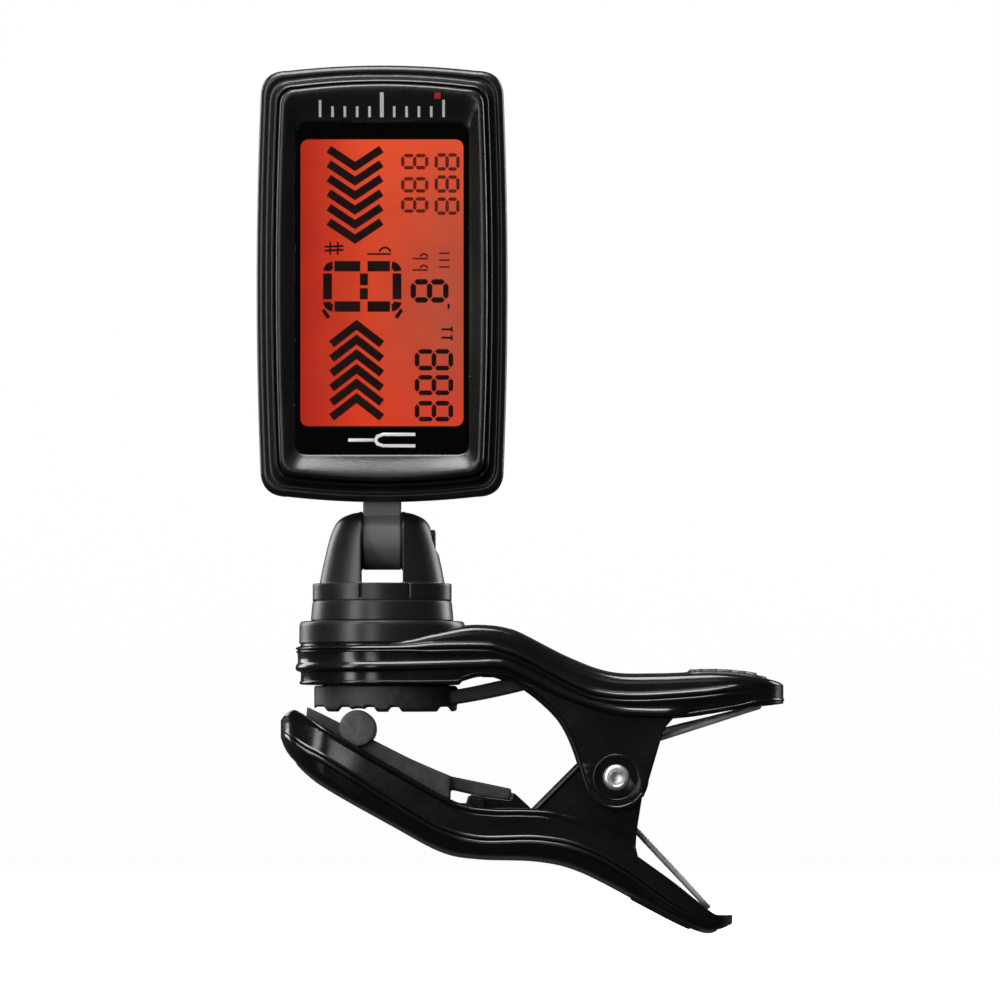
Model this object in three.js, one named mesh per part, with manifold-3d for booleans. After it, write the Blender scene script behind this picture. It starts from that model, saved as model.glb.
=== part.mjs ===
// A clip-on instrument tuner: a backlit display head on a tilting and swivelling turret, carried by a
// spring clip with padded jaws. Millimetres, +Z up. The origin is on the gripping rib of the upper pad,
// straight under the swivel axis; +X runs along the jaws towards the handles and the display faces -Y.
import * as THREE from 'three';
import Module from 'manifold-3d';
import { mergeVertices } from 'three/addons/utils/BufferGeometryUtils.js';

const wasm = await Module();
wasm.setup();

// ---------------------------------------------------------------- driving dimensions

const GAP = 0.3; // clearance between neighbouring pieces
const ROUND = 20; // sides of a small turned piece
const WIDE_ROUND = 36; // sides of a large turned piece
const CURVE = 3; // straight steps between two points of a spline
const FAR = 40; // beyond the clip in every direction
const SIDE = 12; // beyond the clip across its width

const PIVOT = { x: 30.7, z: -8.75 }; // jaw hinge, axis along Y
const TILT = { y: 0, z: 22.4 }; // head hinge, axis along X
const JAW_WALL = 1.7;
const CHANNEL = 7.2; // half width of the hollow inside both jaws
const RAIL_PROUD = 0.6; // how far the moulded rails stand out of the jaws' sides

// The upper jaw: a round platform in front, an arm and a handle. Lines are [x, z] and plans are
// [x, half width].
const UPPER = {
  platform: 10.9,
  rail: 11.4,
  platformTop: 11.85,
  skirt: { top: 5.15, bottom: 3.5, radius: 10.35, flare: 10.9 },
  top: [[11, 11.3], [14.5, 11.2], [18.5, 9.9], [24.6, 6.8], [30, 4.9], [36, 4.7], [44, 4.9], [50, 4.3],
    [52.4, 3.7]],
  handleEnd: [[53.4, 1.9], [53.3, 1.2], [49.7, 1]],
  bottom: [[46.5, 0.3], [42, -0.4], [38.5, -0.9], [34.5, -1], [30, -0.6], [23.6, 1.6], [18, 4.1],
    [14.6, 4.6], [4, 4.1]],
  upperRail: [[0, 8.15], [12.6, 8.3], [15.9, 7.8], [19, 6.6], [25.7, 3.1], [29, 2.05], [33.4, 1.75],
    [40, 2.1], [48, 2.9]],
  lowerRail: [[0, 5.65], [11.5, 5.9], [14.8, 6], [17.2, 5.5], [23.6, 2.2], [30, 0.05], [34.5, -0.4],
    [39.5, -0.3]],
  railHalf: [0.65, 0.5],
  throat: [[14.6, 4.6], [17.2, 3.7], [19.2, 2.5], [21.4, 0.7], [23.1, -1.1], [24.2, -2.9], [25.1, -5],
    [25.9, -7.6]],
  lugRear: [[34.3, -11.3], [36.6, -3.55], [37.2, -2.1], [38.7, -0.4], [38.7, 2], [16, 6.5]],
  lugRadius: 4.2,
  lug: [CHANNEL, 8.6], // |Y| of each hinge lug
  lip: { width: 0.7, proud: 0.3 },
  plan: [[0, 11.4], [8, 11.1], [16, 10.2], [24, 9.4], [32, 9.2], [40, 9.2], [46, 8.9], [50.4, 7.5],
    [52.7, 4.6]],
  end: 53.4,
  channel: [12.5, 50.6], // X span of the hollow
  seat: { radius: 8.6, top: 8.05, rear: 12.6, half: 4.6 }, // hollow over the pad
};

// The lower jaw, closed against the upper one: a scoop with a handle behind.
const LOWER = {
  crown: [[-14, -3.2], [-13.2, -4.8], [-8.5, -9], [1.6, -14.8], [7.9, -18.1], [12.9, -19], [20.4, -19.3],
    [26.1, -20.7], [34.2, -24.9], [39, -27.4], [42.5, -28.7], [45, -28.7]],
  handleRim: [[46.1, -26.8], [44.9, -26.8], [43.3, -26.4], [38.9, -22.9], [33.3, -18.8]],
  rim: [[33.2, -17.5], [28.8, -15.2], [23.4, -13.4], [19.2, -13], [13.5, -12.9], [9.1, -11.8],
    [1.6, -7.4], [-9.5, -0.9]],
  tip: [[-10.7, -0.2], [-11.5, 0.3], [-12.8, -0.7], [-13.8, -2]],
  mainRail: [[-10.3, -5.2], [-6, -7.4], [4.1, -13.8], [8.5, -16.1], [12.9, -17.2], [20.4, -17.2],
    [26.1, -18.3], [31.5, -21], [39.5, -26.4]],
  rimRail: [[-8.5, -1.9], [1.6, -7.8], [9.6, -12.4], [14.2, -13.4], [19.2, -13.5], [23.4, -13.9],
    [33, -17.8]],
  railHalf: [0.55, 0.4],
  lugFront: [[19.95, -12.7], [25.6, -7.1]],
  lugRear: [[33.4, -15.7], [33.2, -18.8], [33.6, -23.4], [20, -18.4]],
  lugRadius: 4.3,
  lug: [5.5, 6.9],
  hub: { radius: 2.2, depth: 1 }, // thickening of a lug round the axle
  rib: { width: 0.7, inward: 0.6, outward: 0.2 }, // raised edge along the front of a lug
  plan: [[-13.6, 3.6], [-12, 6.6], [-9, 8.7], [-5, 9.5], [2, 9.6], [12, 9.4], [24, 9.2], [34, 9.1],
    [39, 8.7], [43.5, 7.2], [45.6, 4.6]],
  span: [-14, 46.1],
  hollow: [-10.4, 43.4],
  brow: 2.6, // solid margin of the jaw round its hollow, seen from above
  webs: [-6, 5], // X of the stiffening webs
  web: { thick: 1.2, drop: 1.7 },
  peg: { x: 12.9, z: -12.2, radius: 0.7 },
};

const AXLE = { radius: 1.2, head: 1.75, hole: 1.32, half: 8.2 };
const RECESS = { radius: 2.85, depth: 0.5 }; // round each rivet head

const GRIP = {
  half: 6, seatHalf: 6.3, sink: 0.4, rise: 0.25, ridge: 0.6, ridges: 5, margin: 1.6, bow: 8.5, width: 0.8,
};
const UPPER_GRIP = [39.3, 50.6];
const LOWER_GRIP = [31.9, 42];

const SPRING = {
  wire: 0.4,
  coil: 3.0,
  pitch: 0.9,
  turns: 3,
  inner: 1.6, // |Y| where each coil meets the bridge
  leaves: 107, // degrees round the pivot where the free leg meets its coil
  arrives: 227,
  leg: [[49.4, 0.6], [47.5, 0], [43, -1.45], [38.5, -2.9], [34, -4.35]],
  bridge: [[32.2, -14.4], [35.5, -17.9], [38.8, -21.4]],
  crook: [[40.6, 0.1, -23.3], [41.1, 0.55, -23.85]], // [x, step inwards, z] of the bend between the coils
  end: [41.2, -23.95],
};

const UPPER_PAD = {
  x: 0.45, radius: 9.4, top: 3.3, bevel: 0.6, plug: 8.2, plugTop: 4.6, cavity: 6.6,
  groove: { depth: 0.6, pitch: 3.25, land: 1.35, slope: 0.3, first: -3, last: 2 },
  tongueTop: [[7, 2.8], [10.1, 2.9], [15.9, 4.1], [20.2, 5.2]],
  tongueBottom: [[20.2, 3.3], [19.2, 2.9], [14, 1.7], [9.3, 0.9], [7, 0.8]],
  tongueHalf: 4.2,
};
const ROLL = { x: -3.45, z: -2.5, radius: 2.5, half: 8.4 }; // transverse roll on the lower pad
const LOWER_PAD = {
  top: [[-9.5, 0.5], [-8.3, -0.3], [-6.2, -1.3], [-0.7, -4], [4.1, -6.4], [9, -8.55]],
  bottom: [[9, -10.3], [5.3, -9.2], [1.6, -7.2], [-3.5, -4.4], [-9.6, -0.45]],
  tongueTop: [[8.5, -8.35], [11.6, -9.1], [14.7, -9.9], [16.8, -10.6]],
  tongueTip: [[16.9, -11], [15.9, -11.7]],
  tongueBottom: [[13.9, -11.3], [9.6, -10.2], [8.5, -9.8]],
  half: 8,
  innerHalf: 6.6,
  tongueHalf: 4.6,
};

const TURRET = { flange: 9.15, ringBase: 9.35, ringTop: 14.5, flangeTop: 16.75, depth: 0.82 };
const DOME = [[8.25, 16.7], [7.75, 19.3], [6.85, 22.9], [5.9, 24.9], [4.4, 25.85], [2.6, 26.2], [0, 26.25]];
const SLOT = 2.75; // half width of the fork's slot
const SPIGOT = { radius: 3.6, hole: 3.9, bottom: 7.95 }; // the ring's bearing in the upper jaw
const TONGUE = { half: 2.5, radius: 3.8, front: -1.9, rear: 2.4, top: 28.6 }; // the head's hinge knuckle
const TILT_PIN = { radius: 0.9, hole: 1.05, head: 1.8, length: 12.2, x: 6.1, seat: 5.6 };
const TILT_NUT = { radius: 2.05, seat: 2.4, x: [-6.2, -5.5] };
const SWIVEL_SCREW = { radius: 1.15, length: 8.4, head: 2.4, headHeight: 1.4, z: 6.5, hole: 1.4 };

// The display head. Each level of a shell is [inset from the outline, Y].
const HEAD = { z: 56.2, halfWidth: 16.5, halfHeight: 28.7, sideBulge: 0.5, endBulge: 0.7, corner: 3.6 };
const SEAM = -2; // Y of the parting line between the shells
const FRONT_LEVELS = [[0, SEAM - GAP / 2], [0, -2.6], [0.5, -3.35], [1.2, -3.6], [2.1, -5], [2.5, -5.3],
  [2.7, -6.2], [3.2, -6.6], [3.8, -6.6]];
const FRONT_INSIDE = [[1.4, 2], [1.4, -2.4], [3.2, -3.7], [3.3, -3.71]];
const REAR_LEVELS = [[0, SEAM + GAP / 2], [0, 0], [0.3, 2.4], [1.1, 4.1], [2.6, 5.1], [4.2, 5.2]];
const REAR_INSIDE = [[1.4, SEAM - 1], [1.4, 0], [1.7, 2.2], [3, 3.8], [3.1, 3.81]];
const LENS = { z: 55.4, halfWidth: 11.4, halfHeight: 21.8, corner: 1.6, front: -5.25, back: -4.4 };
const BEZEL_SLOPE = { bevelSize: 1.5, bevelThickness: 1.4, depth: 0.5 }; // from the face to the window
const WINDOW = { halfWidth: 10.7, halfHeight: 18.85, corner: 1.2 };
const LCD = { halfWidth: 11.6, halfHeight: 20.2, front: -3.6, back: -2 };
const GUIDE = { halfWidth: 11.2, bottom: -18, top: 19.8, front: -1.9, back: -0.7 };
const STRIP = { halfWidth: 10.5, bottom: -20, top: -18.4, front: -1.95 };
const BOARD = { front: -0.4, back: 0.4, halfWidth: 13, halfHeight: 24.5, corner: 1.5, notch: 2.4 };
const LED = { x: 6, z: 76.3, half: 1.4, height: 1.4, front: -1.75 };
const CHIP = { half: 4.5, z: [67, 71.5], height: 1.2 };
const ON_BOARD = 0.02; // clearance under what is soldered to the board
const CELL = { z: 55, radius: 10, rim: 1, front: 0.9, step: 1.4, back: 4.1 };
const HOLDER = { halfWidth: 12.2, halfHeight: 11.6, corner: 2, back: 3.4 };
const CONTACT = { width: 6, thick: 0.4, foot: 0.35, top: 3.9 };
const DOOR = {
  z: 55, halfWidth: 12, halfHeight: 13, corner: 2, front: 4.35, back: 5.2, ledge: 0.8,
  ribs: 4, ribHalf: 4.5, ribWidth: 0.7, ribPitch: 1.5, ribRise: 0.3, hook: 0.9, notch: 2.6,
};
const BUTTONS = [
  { name: 'power', x: 0, z: 77.4, radius: 2.6 },
  { name: 'mode', x: -6.9, z: 73.6, radius: 2.1 },
  { name: 'pitch', x: 6.9, z: 73.6, radius: 2.1 },
];
const CAP = {
  front: 3.1, skirtBack: 3.55, back: 5.65, skirt: 0.6, nub: 0.9, nubFront: 2.75, clearance: 0.25,
};
const SWITCH = { half: 1.6, back: 1.7, plunger: 0.8, plungerBack: 2.25 };
const PIEZO = { z: 36.6, radius: 5.4, inner: 3.9, back: 3.6, thick: 0.25, front: 3.05 };
const SCREW_X = 12.5;
const SCREW_Z = [33.3, 79.1];
const CASE_SCREW = { radius: 0.85, length: 5.4, head: 1.6, headHeight: 1, y: 2.95 };
const SCREW_POST = { radius: 2.3, hole: 1.1, front: 1.5, back: 4.4, sink: 1.85 };
const SCREW_BOSS = { radius: 1.9, hole: 1, front: -4.4, floor: -3.4, back: 1.2 };

// ---------------------------------------------------------------- shapes and solids

const points = (list) => list.map(([a, b]) => new THREE.Vector2(a, b));

// A smooth line through the points.
const spline = (list) => new THREE.SplineCurve(points(list)).getPoints((list.length - 1) * CURVE);

const closed = (...stretches) => new THREE.Shape(stretches.flat());

// Points of an arc round a centre, from one angle in degrees to another.
function arc(x, y, radius, from, to) {
  const steps = Math.max(2, Math.round((Math.abs(to - from) * ROUND) / 360));
  return Array.from({ length: steps + 1 }, (_, i) => {
    const angle = THREE.MathUtils.degToRad(from + ((to - from) * i) / steps);
    return new THREE.Vector2(x + radius * Math.cos(angle), y + radius * Math.sin(angle));
  });
}

// The line moved sideways: to its left where the distance is positive.
function shifted(line, distance) {
  return line.map((p, i) => {
    const along = line[Math.min(i + 1, line.length - 1)].clone().sub(line[Math.max(i - 1, 0)]).normalize();
    return new THREE.Vector2(p.x - along.y * distance, p.y + along.x * distance);
  });
}

// The strip between two parallels of a line.
const band = (line, a, b) => closed(shifted(line, a), shifted(line, b).reverse());

function roundedRect(x, z, halfWidth, halfHeight, r) {
  const [w, h] = [halfWidth - r, halfHeight - r];
  return closed(arc(x + w, z + h, r, 0, 90), arc(x - w, z + h, r, 90, 180),
    arc(x - w, z - h, r, 180, 270), arc(x + w, z - h, r, 270, 360));
}

// A closed three.js geometry as a manifold-3d solid.
function solid(geometry) {
  const g = geometry.index ? geometry.toNonIndexed() : geometry;
  g.deleteAttribute('normal');
  g.deleteAttribute('uv');
  const merged = mergeVertices(g, 1e-4);
  return new wasm.Manifold(new wasm.Mesh({
    numProp: 3,
    vertProperties: merged.attributes.position.array,
    triVerts: new Uint32Array(merged.index.array),
  }));
}

const extrude = (shape, depth) => new THREE.ExtrudeGeometry(shape, { depth, bevelEnabled: false });

// A shape drawn in X and Z, as thick as the Y span.
const sidePrism = (shape, y0, y1) =>
  solid(extrude(shape, y1 - y0).rotateX(Math.PI / 2).translate(0, y1, 0));

// A shape drawn in X and Y, as tall as the Z span.
const planPrism = (shape, z0 = -FAR, z1 = FAR) => solid(extrude(shape, z1 - z0).translate(0, 0, z0));

function box(x0, x1, y0, y1, z0, z1) {
  const g = new THREE.BoxGeometry(x1 - x0, y1 - y0, z1 - z0);
  return solid(g.translate((x0 + x1) / 2, (y0 + y1) / 2, (z0 + z1) / 2));
}

function rodX(y, z, radius, x0, x1, sides = ROUND) {
  const g = new THREE.CylinderGeometry(radius, radius, x1 - x0, sides).rotateZ(Math.PI / 2);
  return solid(g.translate((x0 + x1) / 2, y, z));
}

function rodY(x, z, radius, y0, y1, sides = ROUND) {
  const g = new THREE.CylinderGeometry(radius, radius, y1 - y0, sides);
  return solid(g.translate(x, (y0 + y1) / 2, z));
}

function rodZ(x, radius, z0, z1, { sides = ROUND, topRadius = radius } = {}) {
  const g = new THREE.CylinderGeometry(topRadius, radius, z1 - z0, sides).rotateX(Math.PI / 2);
  return solid(g.translate(x, 0, (z0 + z1) / 2));
}

const wide = { sides: WIDE_ROUND };
const join = (...solids) => solids.reduce((a, b) => a.add(b));
const cut = (from, ...solids) => solids.reduce((a, b) => a.subtract(b), from);
const bothSides = (make) => join(make(1), make(-1));

// A Y span given for the positive side, on the side that the sign says.
const span = ([near, far], sign) => (sign > 0 ? [near, far] : [-far, -near]);

const sidePlate = (shape, thickness, sign) => sidePrism(shape, ...span(thickness, sign));
const acrossClip = (shape) => sidePrism(shape, -SIDE, SIDE);
const hingeHole = () => rodY(PIVOT.x, PIVOT.z, AXLE.hole, -FAR, FAR);

// ---------------------------------------------------------------- the scene graph

const plastic = (color, roughness) => new THREE.MeshStandardMaterial({ color, roughness, metalness: 0 });
const metal = (color, roughness) => new THREE.MeshStandardMaterial({ color, roughness, metalness: 1 });
const MATERIAL = {
  shell: plastic(0x151516, 0.45),
  trim: plastic(0x1a1a1b, 0.35),
  rubber: plastic(0x1f1f20, 0.8),
  lens: new THREE.MeshStandardMaterial({
    color: 0xffffff,
    roughness: 0.05,
    transparent: true,
    opacity: 0.3,
  }),
  lcd: plastic(0xc8452c, 0.3),
  guide: plastic(0xff5a30, 0.4),
  board: plastic(0x1c5a34, 0.5),
  chip: plastic(0x101012, 0.4),
  inner: plastic(0x2a2a2c, 0.6),
  steel: metal(0xc8c8c8, 0.25),
  brass: metal(0xc9a659, 0.35),
};

function add(group, name, manifold, material) {
  const { vertProperties, triVerts } = manifold.getMesh();
  const geometry = new THREE.BufferGeometry()
    .setAttribute('position', new THREE.BufferAttribute(vertProperties, 3))
    .setIndex(new THREE.BufferAttribute(triVerts, 1));
  geometry.computeVertexNormals();
  const mesh = new THREE.Mesh(geometry, material);
  mesh.name = name;
  group.add(mesh);
}

// ---------------------------------------------------------------- upper jaw

// The jaw's outline from above, drawn in by an inset: round in front, narrowing to the handle's end.
function upperPlan(inset) {
  const side = spline(UPPER.plan).slice(1)
    .map((p) => new THREE.Vector2(p.x - (inset * p.x) / UPPER.end, p.y - inset));
  const mirrored = side.map((p) => new THREE.Vector2(p.x, -p.y));
  const tail = new THREE.Vector2(UPPER.end - inset, 0);
  return closed(arc(0, 0, UPPER.rail - inset, 90, 270), mirrored, [tail], side.reverse());
}

function upperArm() {
  const top = spline(UPPER.top);
  const outline = closed(points([[0, UPPER.top[0][1]]]), top, points(UPPER.handleEnd),
    spline(UPPER.bottom), points([[0, 4.1]]));
  const core = acrossClip(outline).intersect(planPrism(upperPlan(RAIL_PROUD)));
  const rails = [UPPER.upperRail, UPPER.lowerRail]
    .map((line, i) => acrossClip(band(spline(line), -UPPER.railHalf[i], UPPER.railHalf[i])));
  const behindAxis = box(0, FAR * 2, -SIDE, SIDE, -FAR, FAR);
  const [front, rear] = UPPER.channel;
  const ceiling = shifted(top, -JAW_WALL - 0.2).filter((p) => p.x > front && p.x < rear);
  const hollow = closed(ceiling, points([[rear, -FAR / 2], [front, -FAR / 2]]));
  return cut(join(core, join(...rails).intersect(planPrism(upperPlan(0))).intersect(behindAxis)),
    sidePrism(hollow, -CHANNEL, CHANNEL));
}

function upperPlatform() {
  const { skirt, rail, platform } = UPPER;
  return join(
    rodZ(0, platform, 7.6, UPPER.platformTop, wide),
    rodZ(0, rail, 7.5, 8.8, wide),
    rodZ(0, rail - 0.4, 5, 7.8, wide),
    rodZ(0, rail, 5.1, 6.2, wide),
    rodZ(0, skirt.radius, skirt.bottom, skirt.top, { sides: WIDE_ROUND, topRadius: skirt.flare }));
}

// Two hinge lugs, each with a raised lip along the throat and round the pivot.
function upperLugs() {
  const throat = spline(UPPER.throat);
  const bottom = arc(PIVOT.x, PIVOT.z, UPPER.lugRadius, 170, 325);
  const [near, far] = UPPER.lug;
  return bothSides((sign) => join(
    sidePlate(closed(throat, bottom, points(UPPER.lugRear)), [near, far], sign),
    sidePlate(band([...throat, ...bottom], 0, UPPER.lip.width), [near, far + UPPER.lip.proud], sign)));
}

function upperJaw() {
  const { seat, lug, top } = UPPER;
  const padSeat = join(rodZ(0, seat.radius, 0, seat.top, wide),
    box(0, seat.rear, -seat.half, seat.half, 0, seat.top));
  const recess = (sign) =>
    rodY(PIVOT.x, PIVOT.z, RECESS.radius, ...span([lug[1] - RECESS.depth, FAR], sign));
  const body = join(upperArm(), cut(upperPlatform(), padSeat), upperLugs());
  return cut(body, padSeat, hingeHole(), bothSides(recess), rodZ(0, SPIGOT.hole, 0, FAR),
    gripSeat(spline(top), UPPER_GRIP, 1));
}

// The pocket for a thumb grip, in the outer side of a handle.
function gripSeat(line, [x0, x1], outward) {
  const pocket = outward > 0 ? band(line, -0.7, 5) : band(line, -5, 0.7);
  return sidePrism(pocket, -GRIP.seatHalf, GRIP.seatHalf)
    .intersect(box(x0 - GAP, x1 + GAP, -SIDE, SIDE, -FAR, FAR));
}

// A thumb grip: a soft insert with bowed ridges across it, following the handle's outer line.
function thumbGrip(line, [x0, x1], outward) {
  const layer = (low, high) => sidePrism(band(line, low * outward, high * outward), -GRIP.half, GRIP.half);
  const ridge = (x) => planPrism(closed(
    arc(x - GRIP.bow, 0, GRIP.bow, -38, 38), arc(x - GRIP.bow, 0, GRIP.bow - GRIP.width, 38, -38)));
  const step = (x1 - x0 - 2 * GRIP.margin) / (GRIP.ridges - 1);
  const ridges = Array.from({ length: GRIP.ridges }, (_, i) => ridge(x0 + GRIP.margin + i * step));
  const raised = join(...ridges).intersect(layer(-0.3, GRIP.ridge));
  const outline = roundedRect((x0 + x1) / 2, 0, (x1 - x0) / 2, GRIP.half, 2.6);
  return join(layer(-GRIP.sink, GRIP.rise), raised).intersect(planPrism(outline));
}

// The round rubber pad under the turret, ribbed across, with a tongue running back to the throat.
function upperPad() {
  const { x, radius, top, bevel, groove, tongueHalf } = UPPER_PAD;
  const disc = join(rodZ(x, radius - bevel, 0, top - 0.1, wide), rodZ(x, radius, 0, top - 0.4, wide),
    rodZ(0, UPPER_PAD.plug, top - GAP, UPPER_PAD.plugTop, wide));
  const tongue = closed(spline(UPPER_PAD.tongueTop), spline(UPPER_PAD.tongueBottom));
  const grooves = [];
  for (let i = groove.first; i <= groove.last; i++) {
    const mid = (i + 0.5) * groove.pitch;
    const half = (groove.pitch - groove.land) / 2;
    grooves.push(acrossClip(closed(points([[mid - half, -1], [mid + half, -1],
      [mid + half - groove.slope, groove.depth], [mid - half + groove.slope, groove.depth]]))));
  }
  const rollSeat = rodY(ROLL.x, ROLL.z, ROLL.radius + 0.35, -SIDE, SIDE, WIDE_ROUND);
  return cut(join(disc, sidePrism(tongue, -tongueHalf, tongueHalf)), ...grooves, rollSeat,
    rodZ(0, UPPER_PAD.cavity, top + GAP, FAR, wide));
}

function pivotRivet() {
  const profile = points([[0, 0], [AXLE.head, 0], [AXLE.head, 0.45], [1.45, 0.75], [1, 0.85], [0.6, 0.62],
    [0, 0.62]]);
  const seat = UPPER.lug[1] - RECESS.depth + 0.02;
  const head = (sign) => solid(new THREE.LatheGeometry(profile, ROUND)
    .rotateX(sign < 0 ? Math.PI : 0).translate(PIVOT.x, sign * seat, PIVOT.z));
  return join(rodY(PIVOT.x, PIVOT.z, AXLE.radius, -AXLE.half, AXLE.half), bothSides(head));
}

// ---------------------------------------------------------------- torsion spring

// One wire: a free leg into the upper handle, a coil, a bridge in the lower handle, the other coil and
// its free leg. The half with positive Y mirrors the other.
function springPath() {
  const { coil, pitch, turns, inner, leaves, arrives, leg, bridge, crook, end } = SPRING;
  const at = (x, y, z) => new THREE.Vector3(x, y, z);
  const sweep = 360 * turns + (arrives - leaves);
  const outer = inner + (pitch * sweep) / 360;
  const steps = Math.round(sweep / 36);
  const winding = Array.from({ length: steps + 1 }, (_, i) => {
    const angle = THREE.MathUtils.degToRad(leaves + (sweep * i) / steps);
    const y = -outer + ((outer - inner) * i) / steps;
    return at(PIVOT.x + coil * Math.cos(angle), y, PIVOT.z + coil * Math.sin(angle));
  });
  const half = [
    ...leg.map(([x, z]) => at(x, -outer, z)),
    ...winding,
    ...bridge.map(([x, z]) => at(x, -inner, z)),
    ...crook.map(([x, inwards, z]) => at(x, inwards - inner, z)),
  ];
  const mirrored = half.map((p) => at(p.x, -p.y, p.z)).reverse();
  return [...half, at(end[0], 0, end[1]), ...mirrored];
}

function torsionSpring() {
  const path = springPath();
  const section = new THREE.Shape(Array.from({ length: 6 }, (_, i) => new THREE.Vector2(
    SPRING.wire * Math.cos((i * Math.PI) / 3), SPRING.wire * Math.sin((i * Math.PI) / 3))));
  return solid(new THREE.ExtrudeGeometry(section, {
    steps: Math.round(path.length * 1.4),
    extrudePath: new THREE.CatmullRomCurve3(path, false, 'centripetal'),
    bevelEnabled: false,
  }));
}

// ---------------------------------------------------------------- lower jaw

// The jaw's outline from above, drawn in by an inset.
function lowerPlan(inset) {
  const side = shifted(spline(LOWER.plan), -inset);
  const mirrored = side.map((p) => new THREE.Vector2(p.x, -p.y)).reverse();
  const [tip, tail] = [LOWER.span[0] + inset, LOWER.span[1] - inset];
  return planPrism(closed(points([[tip, 0]]), side, points([[tail, 0]]), mirrored));
}

function lowerScoop() {
  const crown = spline(LOWER.crown);
  const outline = closed(crown, points(LOWER.handleRim), spline(LOWER.rim), points(LOWER.tip));
  const rails = [LOWER.mainRail, LOWER.rimRail]
    .map((line, i) => acrossClip(band(spline(line), -LOWER.railHalf[i], LOWER.railHalf[i])));
  const [front, rear] = LOWER.hollow;
  const floor = shifted(crown, JAW_WALL).filter((p) => p.x > front && p.x < rear);
  const hollow = sidePrism(closed(floor, points([[rear, 10], [front, 10]])), -CHANNEL, CHANNEL);
  const core = acrossClip(outline).intersect(lowerPlan(RAIL_PROUD));
  const railed = join(core, join(...rails).intersect(lowerPlan(0)));
  return cut(railed, hollow.intersect(lowerPlan(LOWER.brow)));
}

function lowerLugs() {
  const { lug: [near, far], rib, hub } = LOWER;
  const front = points(LOWER.lugFront);
  const shape = closed(front, arc(PIVOT.x, PIVOT.z, LOWER.lugRadius, 140, -38), points(LOWER.lugRear));
  return bothSides((sign) => join(
    sidePlate(shape, [near, far], sign),
    sidePlate(band(front, -rib.width, 0), [near - rib.inward, far + rib.outward], sign),
    rodY(PIVOT.x, PIVOT.z, hub.radius, ...span([near - hub.depth, near + 0.2], sign))));
}

function lowerJaw() {
  const { crown, rim, web, peg } = LOWER;
  const across = CHANNEL + 0.5; // webs and peg run into both walls
  const webShape = acrossClip(closed(spline(crown), shifted(spline(rim), web.drop)));
  const webs = LOWER.webs.map((x) => box(x, x + web.thick, -across, across, -FAR, 0).intersect(webShape));
  return cut(join(lowerScoop(), lowerLugs(), ...webs, rodY(peg.x, peg.z, peg.radius, -across, across)),
    hingeHole(), gripSeat(spline(crown), LOWER_GRIP, -1));
}

// The lower pad: a rubber strip with a transverse roll at the front and a springy tongue behind. Where
// it dips below the jaw's rim it is narrower, to sit between the walls.
function lowerPad() {
  const { half, innerHalf, tongueHalf } = LOWER_PAD;
  const strip = closed(spline(LOWER_PAD.top), spline(LOWER_PAD.bottom));
  const tongue = closed(spline(LOWER_PAD.tongueTop), points(LOWER_PAD.tongueTip),
    spline(LOWER_PAD.tongueBottom));
  const roll = rodY(ROLL.x, ROLL.z, ROLL.radius, -ROLL.half, ROLL.half, WIDE_ROUND);
  const belowRim = acrossClip(closed(shifted(spline(LOWER.rim), -GAP),
    points([[-FAR / 2, -0.9], [-FAR / 2, -FAR], [PIVOT.x, -FAR]])));
  const inner = sidePrism(strip, -innerHalf, innerHalf).intersect(lowerPlan(LOWER.brow + 0.4));
  return join(cut(join(sidePrism(strip, -half, half), roll), belowRim), inner,
    sidePrism(tongue, -tongueHalf, tongueHalf));
}

// ---------------------------------------------------------------- turret

// Two ears on a flange, one turned dome split by a slot and flattened from front to back so that the
// head can tilt over it.
function turretFork() {
  const { flange, flangeTop, ringTop, depth } = TURRET;
  const base = ringTop + 0.1;
  const profile = [...points([[0, base], [flange, base], [flange, flangeTop]]), ...spline(DOME)];
  const dome = solid(new THREE.LatheGeometry(profile, WIDE_ROUND).rotateX(Math.PI / 2).scale(1, depth, 1));
  return cut(dome,
    box(-SLOT, SLOT, -SIDE, SIDE, flangeTop, FAR),
    rodX(TILT.y, TILT.z, TILT_PIN.hole, -SIDE, SIDE),
    rodX(TILT.y, TILT.z, TILT_PIN.head + 0.25, TILT_PIN.seat, SIDE),
    rodX(TILT.y, TILT.z, TILT_NUT.seat, -SIDE, TILT_NUT.x[1] + 0.1, 6),
    rodZ(0, SWIVEL_SCREW.radius + 0.15, 0, ringTop + 1.1));
}

function swivelRing() {
  const ring = rodZ(0, TURRET.ringBase, UPPER.platformTop + 0.1, TURRET.ringTop,
    { sides: WIDE_ROUND, topRadius: TURRET.flange });
  return cut(join(ring, rodZ(0, SPIGOT.radius, SPIGOT.bottom, 13)), rodZ(0, SWIVEL_SCREW.hole, 0, FAR));
}

const washer = (outer, hole, z0, z1) => cut(rodZ(0, outer, z0, z1, wide), rodZ(0, hole, -FAR, FAR));

// A pan-head screw standing along +Z, the underside of its head at z = 0, with a cross recess.
function screw({ radius, length, head, headHeight }) {
  const body = join(rodZ(0, radius, -0.1, length, { sides: 12 }),
    rodZ(0, head * 0.82, -headHeight, 0.05, { topRadius: head }));
  const [reach, half, floor] = [head * 0.55, head * 0.14, -headHeight * 0.55];
  return cut(body, box(-reach, reach, -half, half, -headHeight - 1, floor),
    box(-half, half, -reach, reach, -headHeight - 1, floor));
}

const tiltScrew = () => screw({ ...TILT_PIN, headHeight: 1.1 })
  .rotate([0, -90, 0]).translate([TILT_PIN.x, TILT.y, TILT.z]);

const tiltNut = () => cut(rodX(TILT.y, TILT.z, TILT_NUT.radius, ...TILT_NUT.x, 6),
  rodX(TILT.y, TILT.z, TILT_PIN.radius + 0.1, -SIDE, 0));

// ---------------------------------------------------------------- display head

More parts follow.
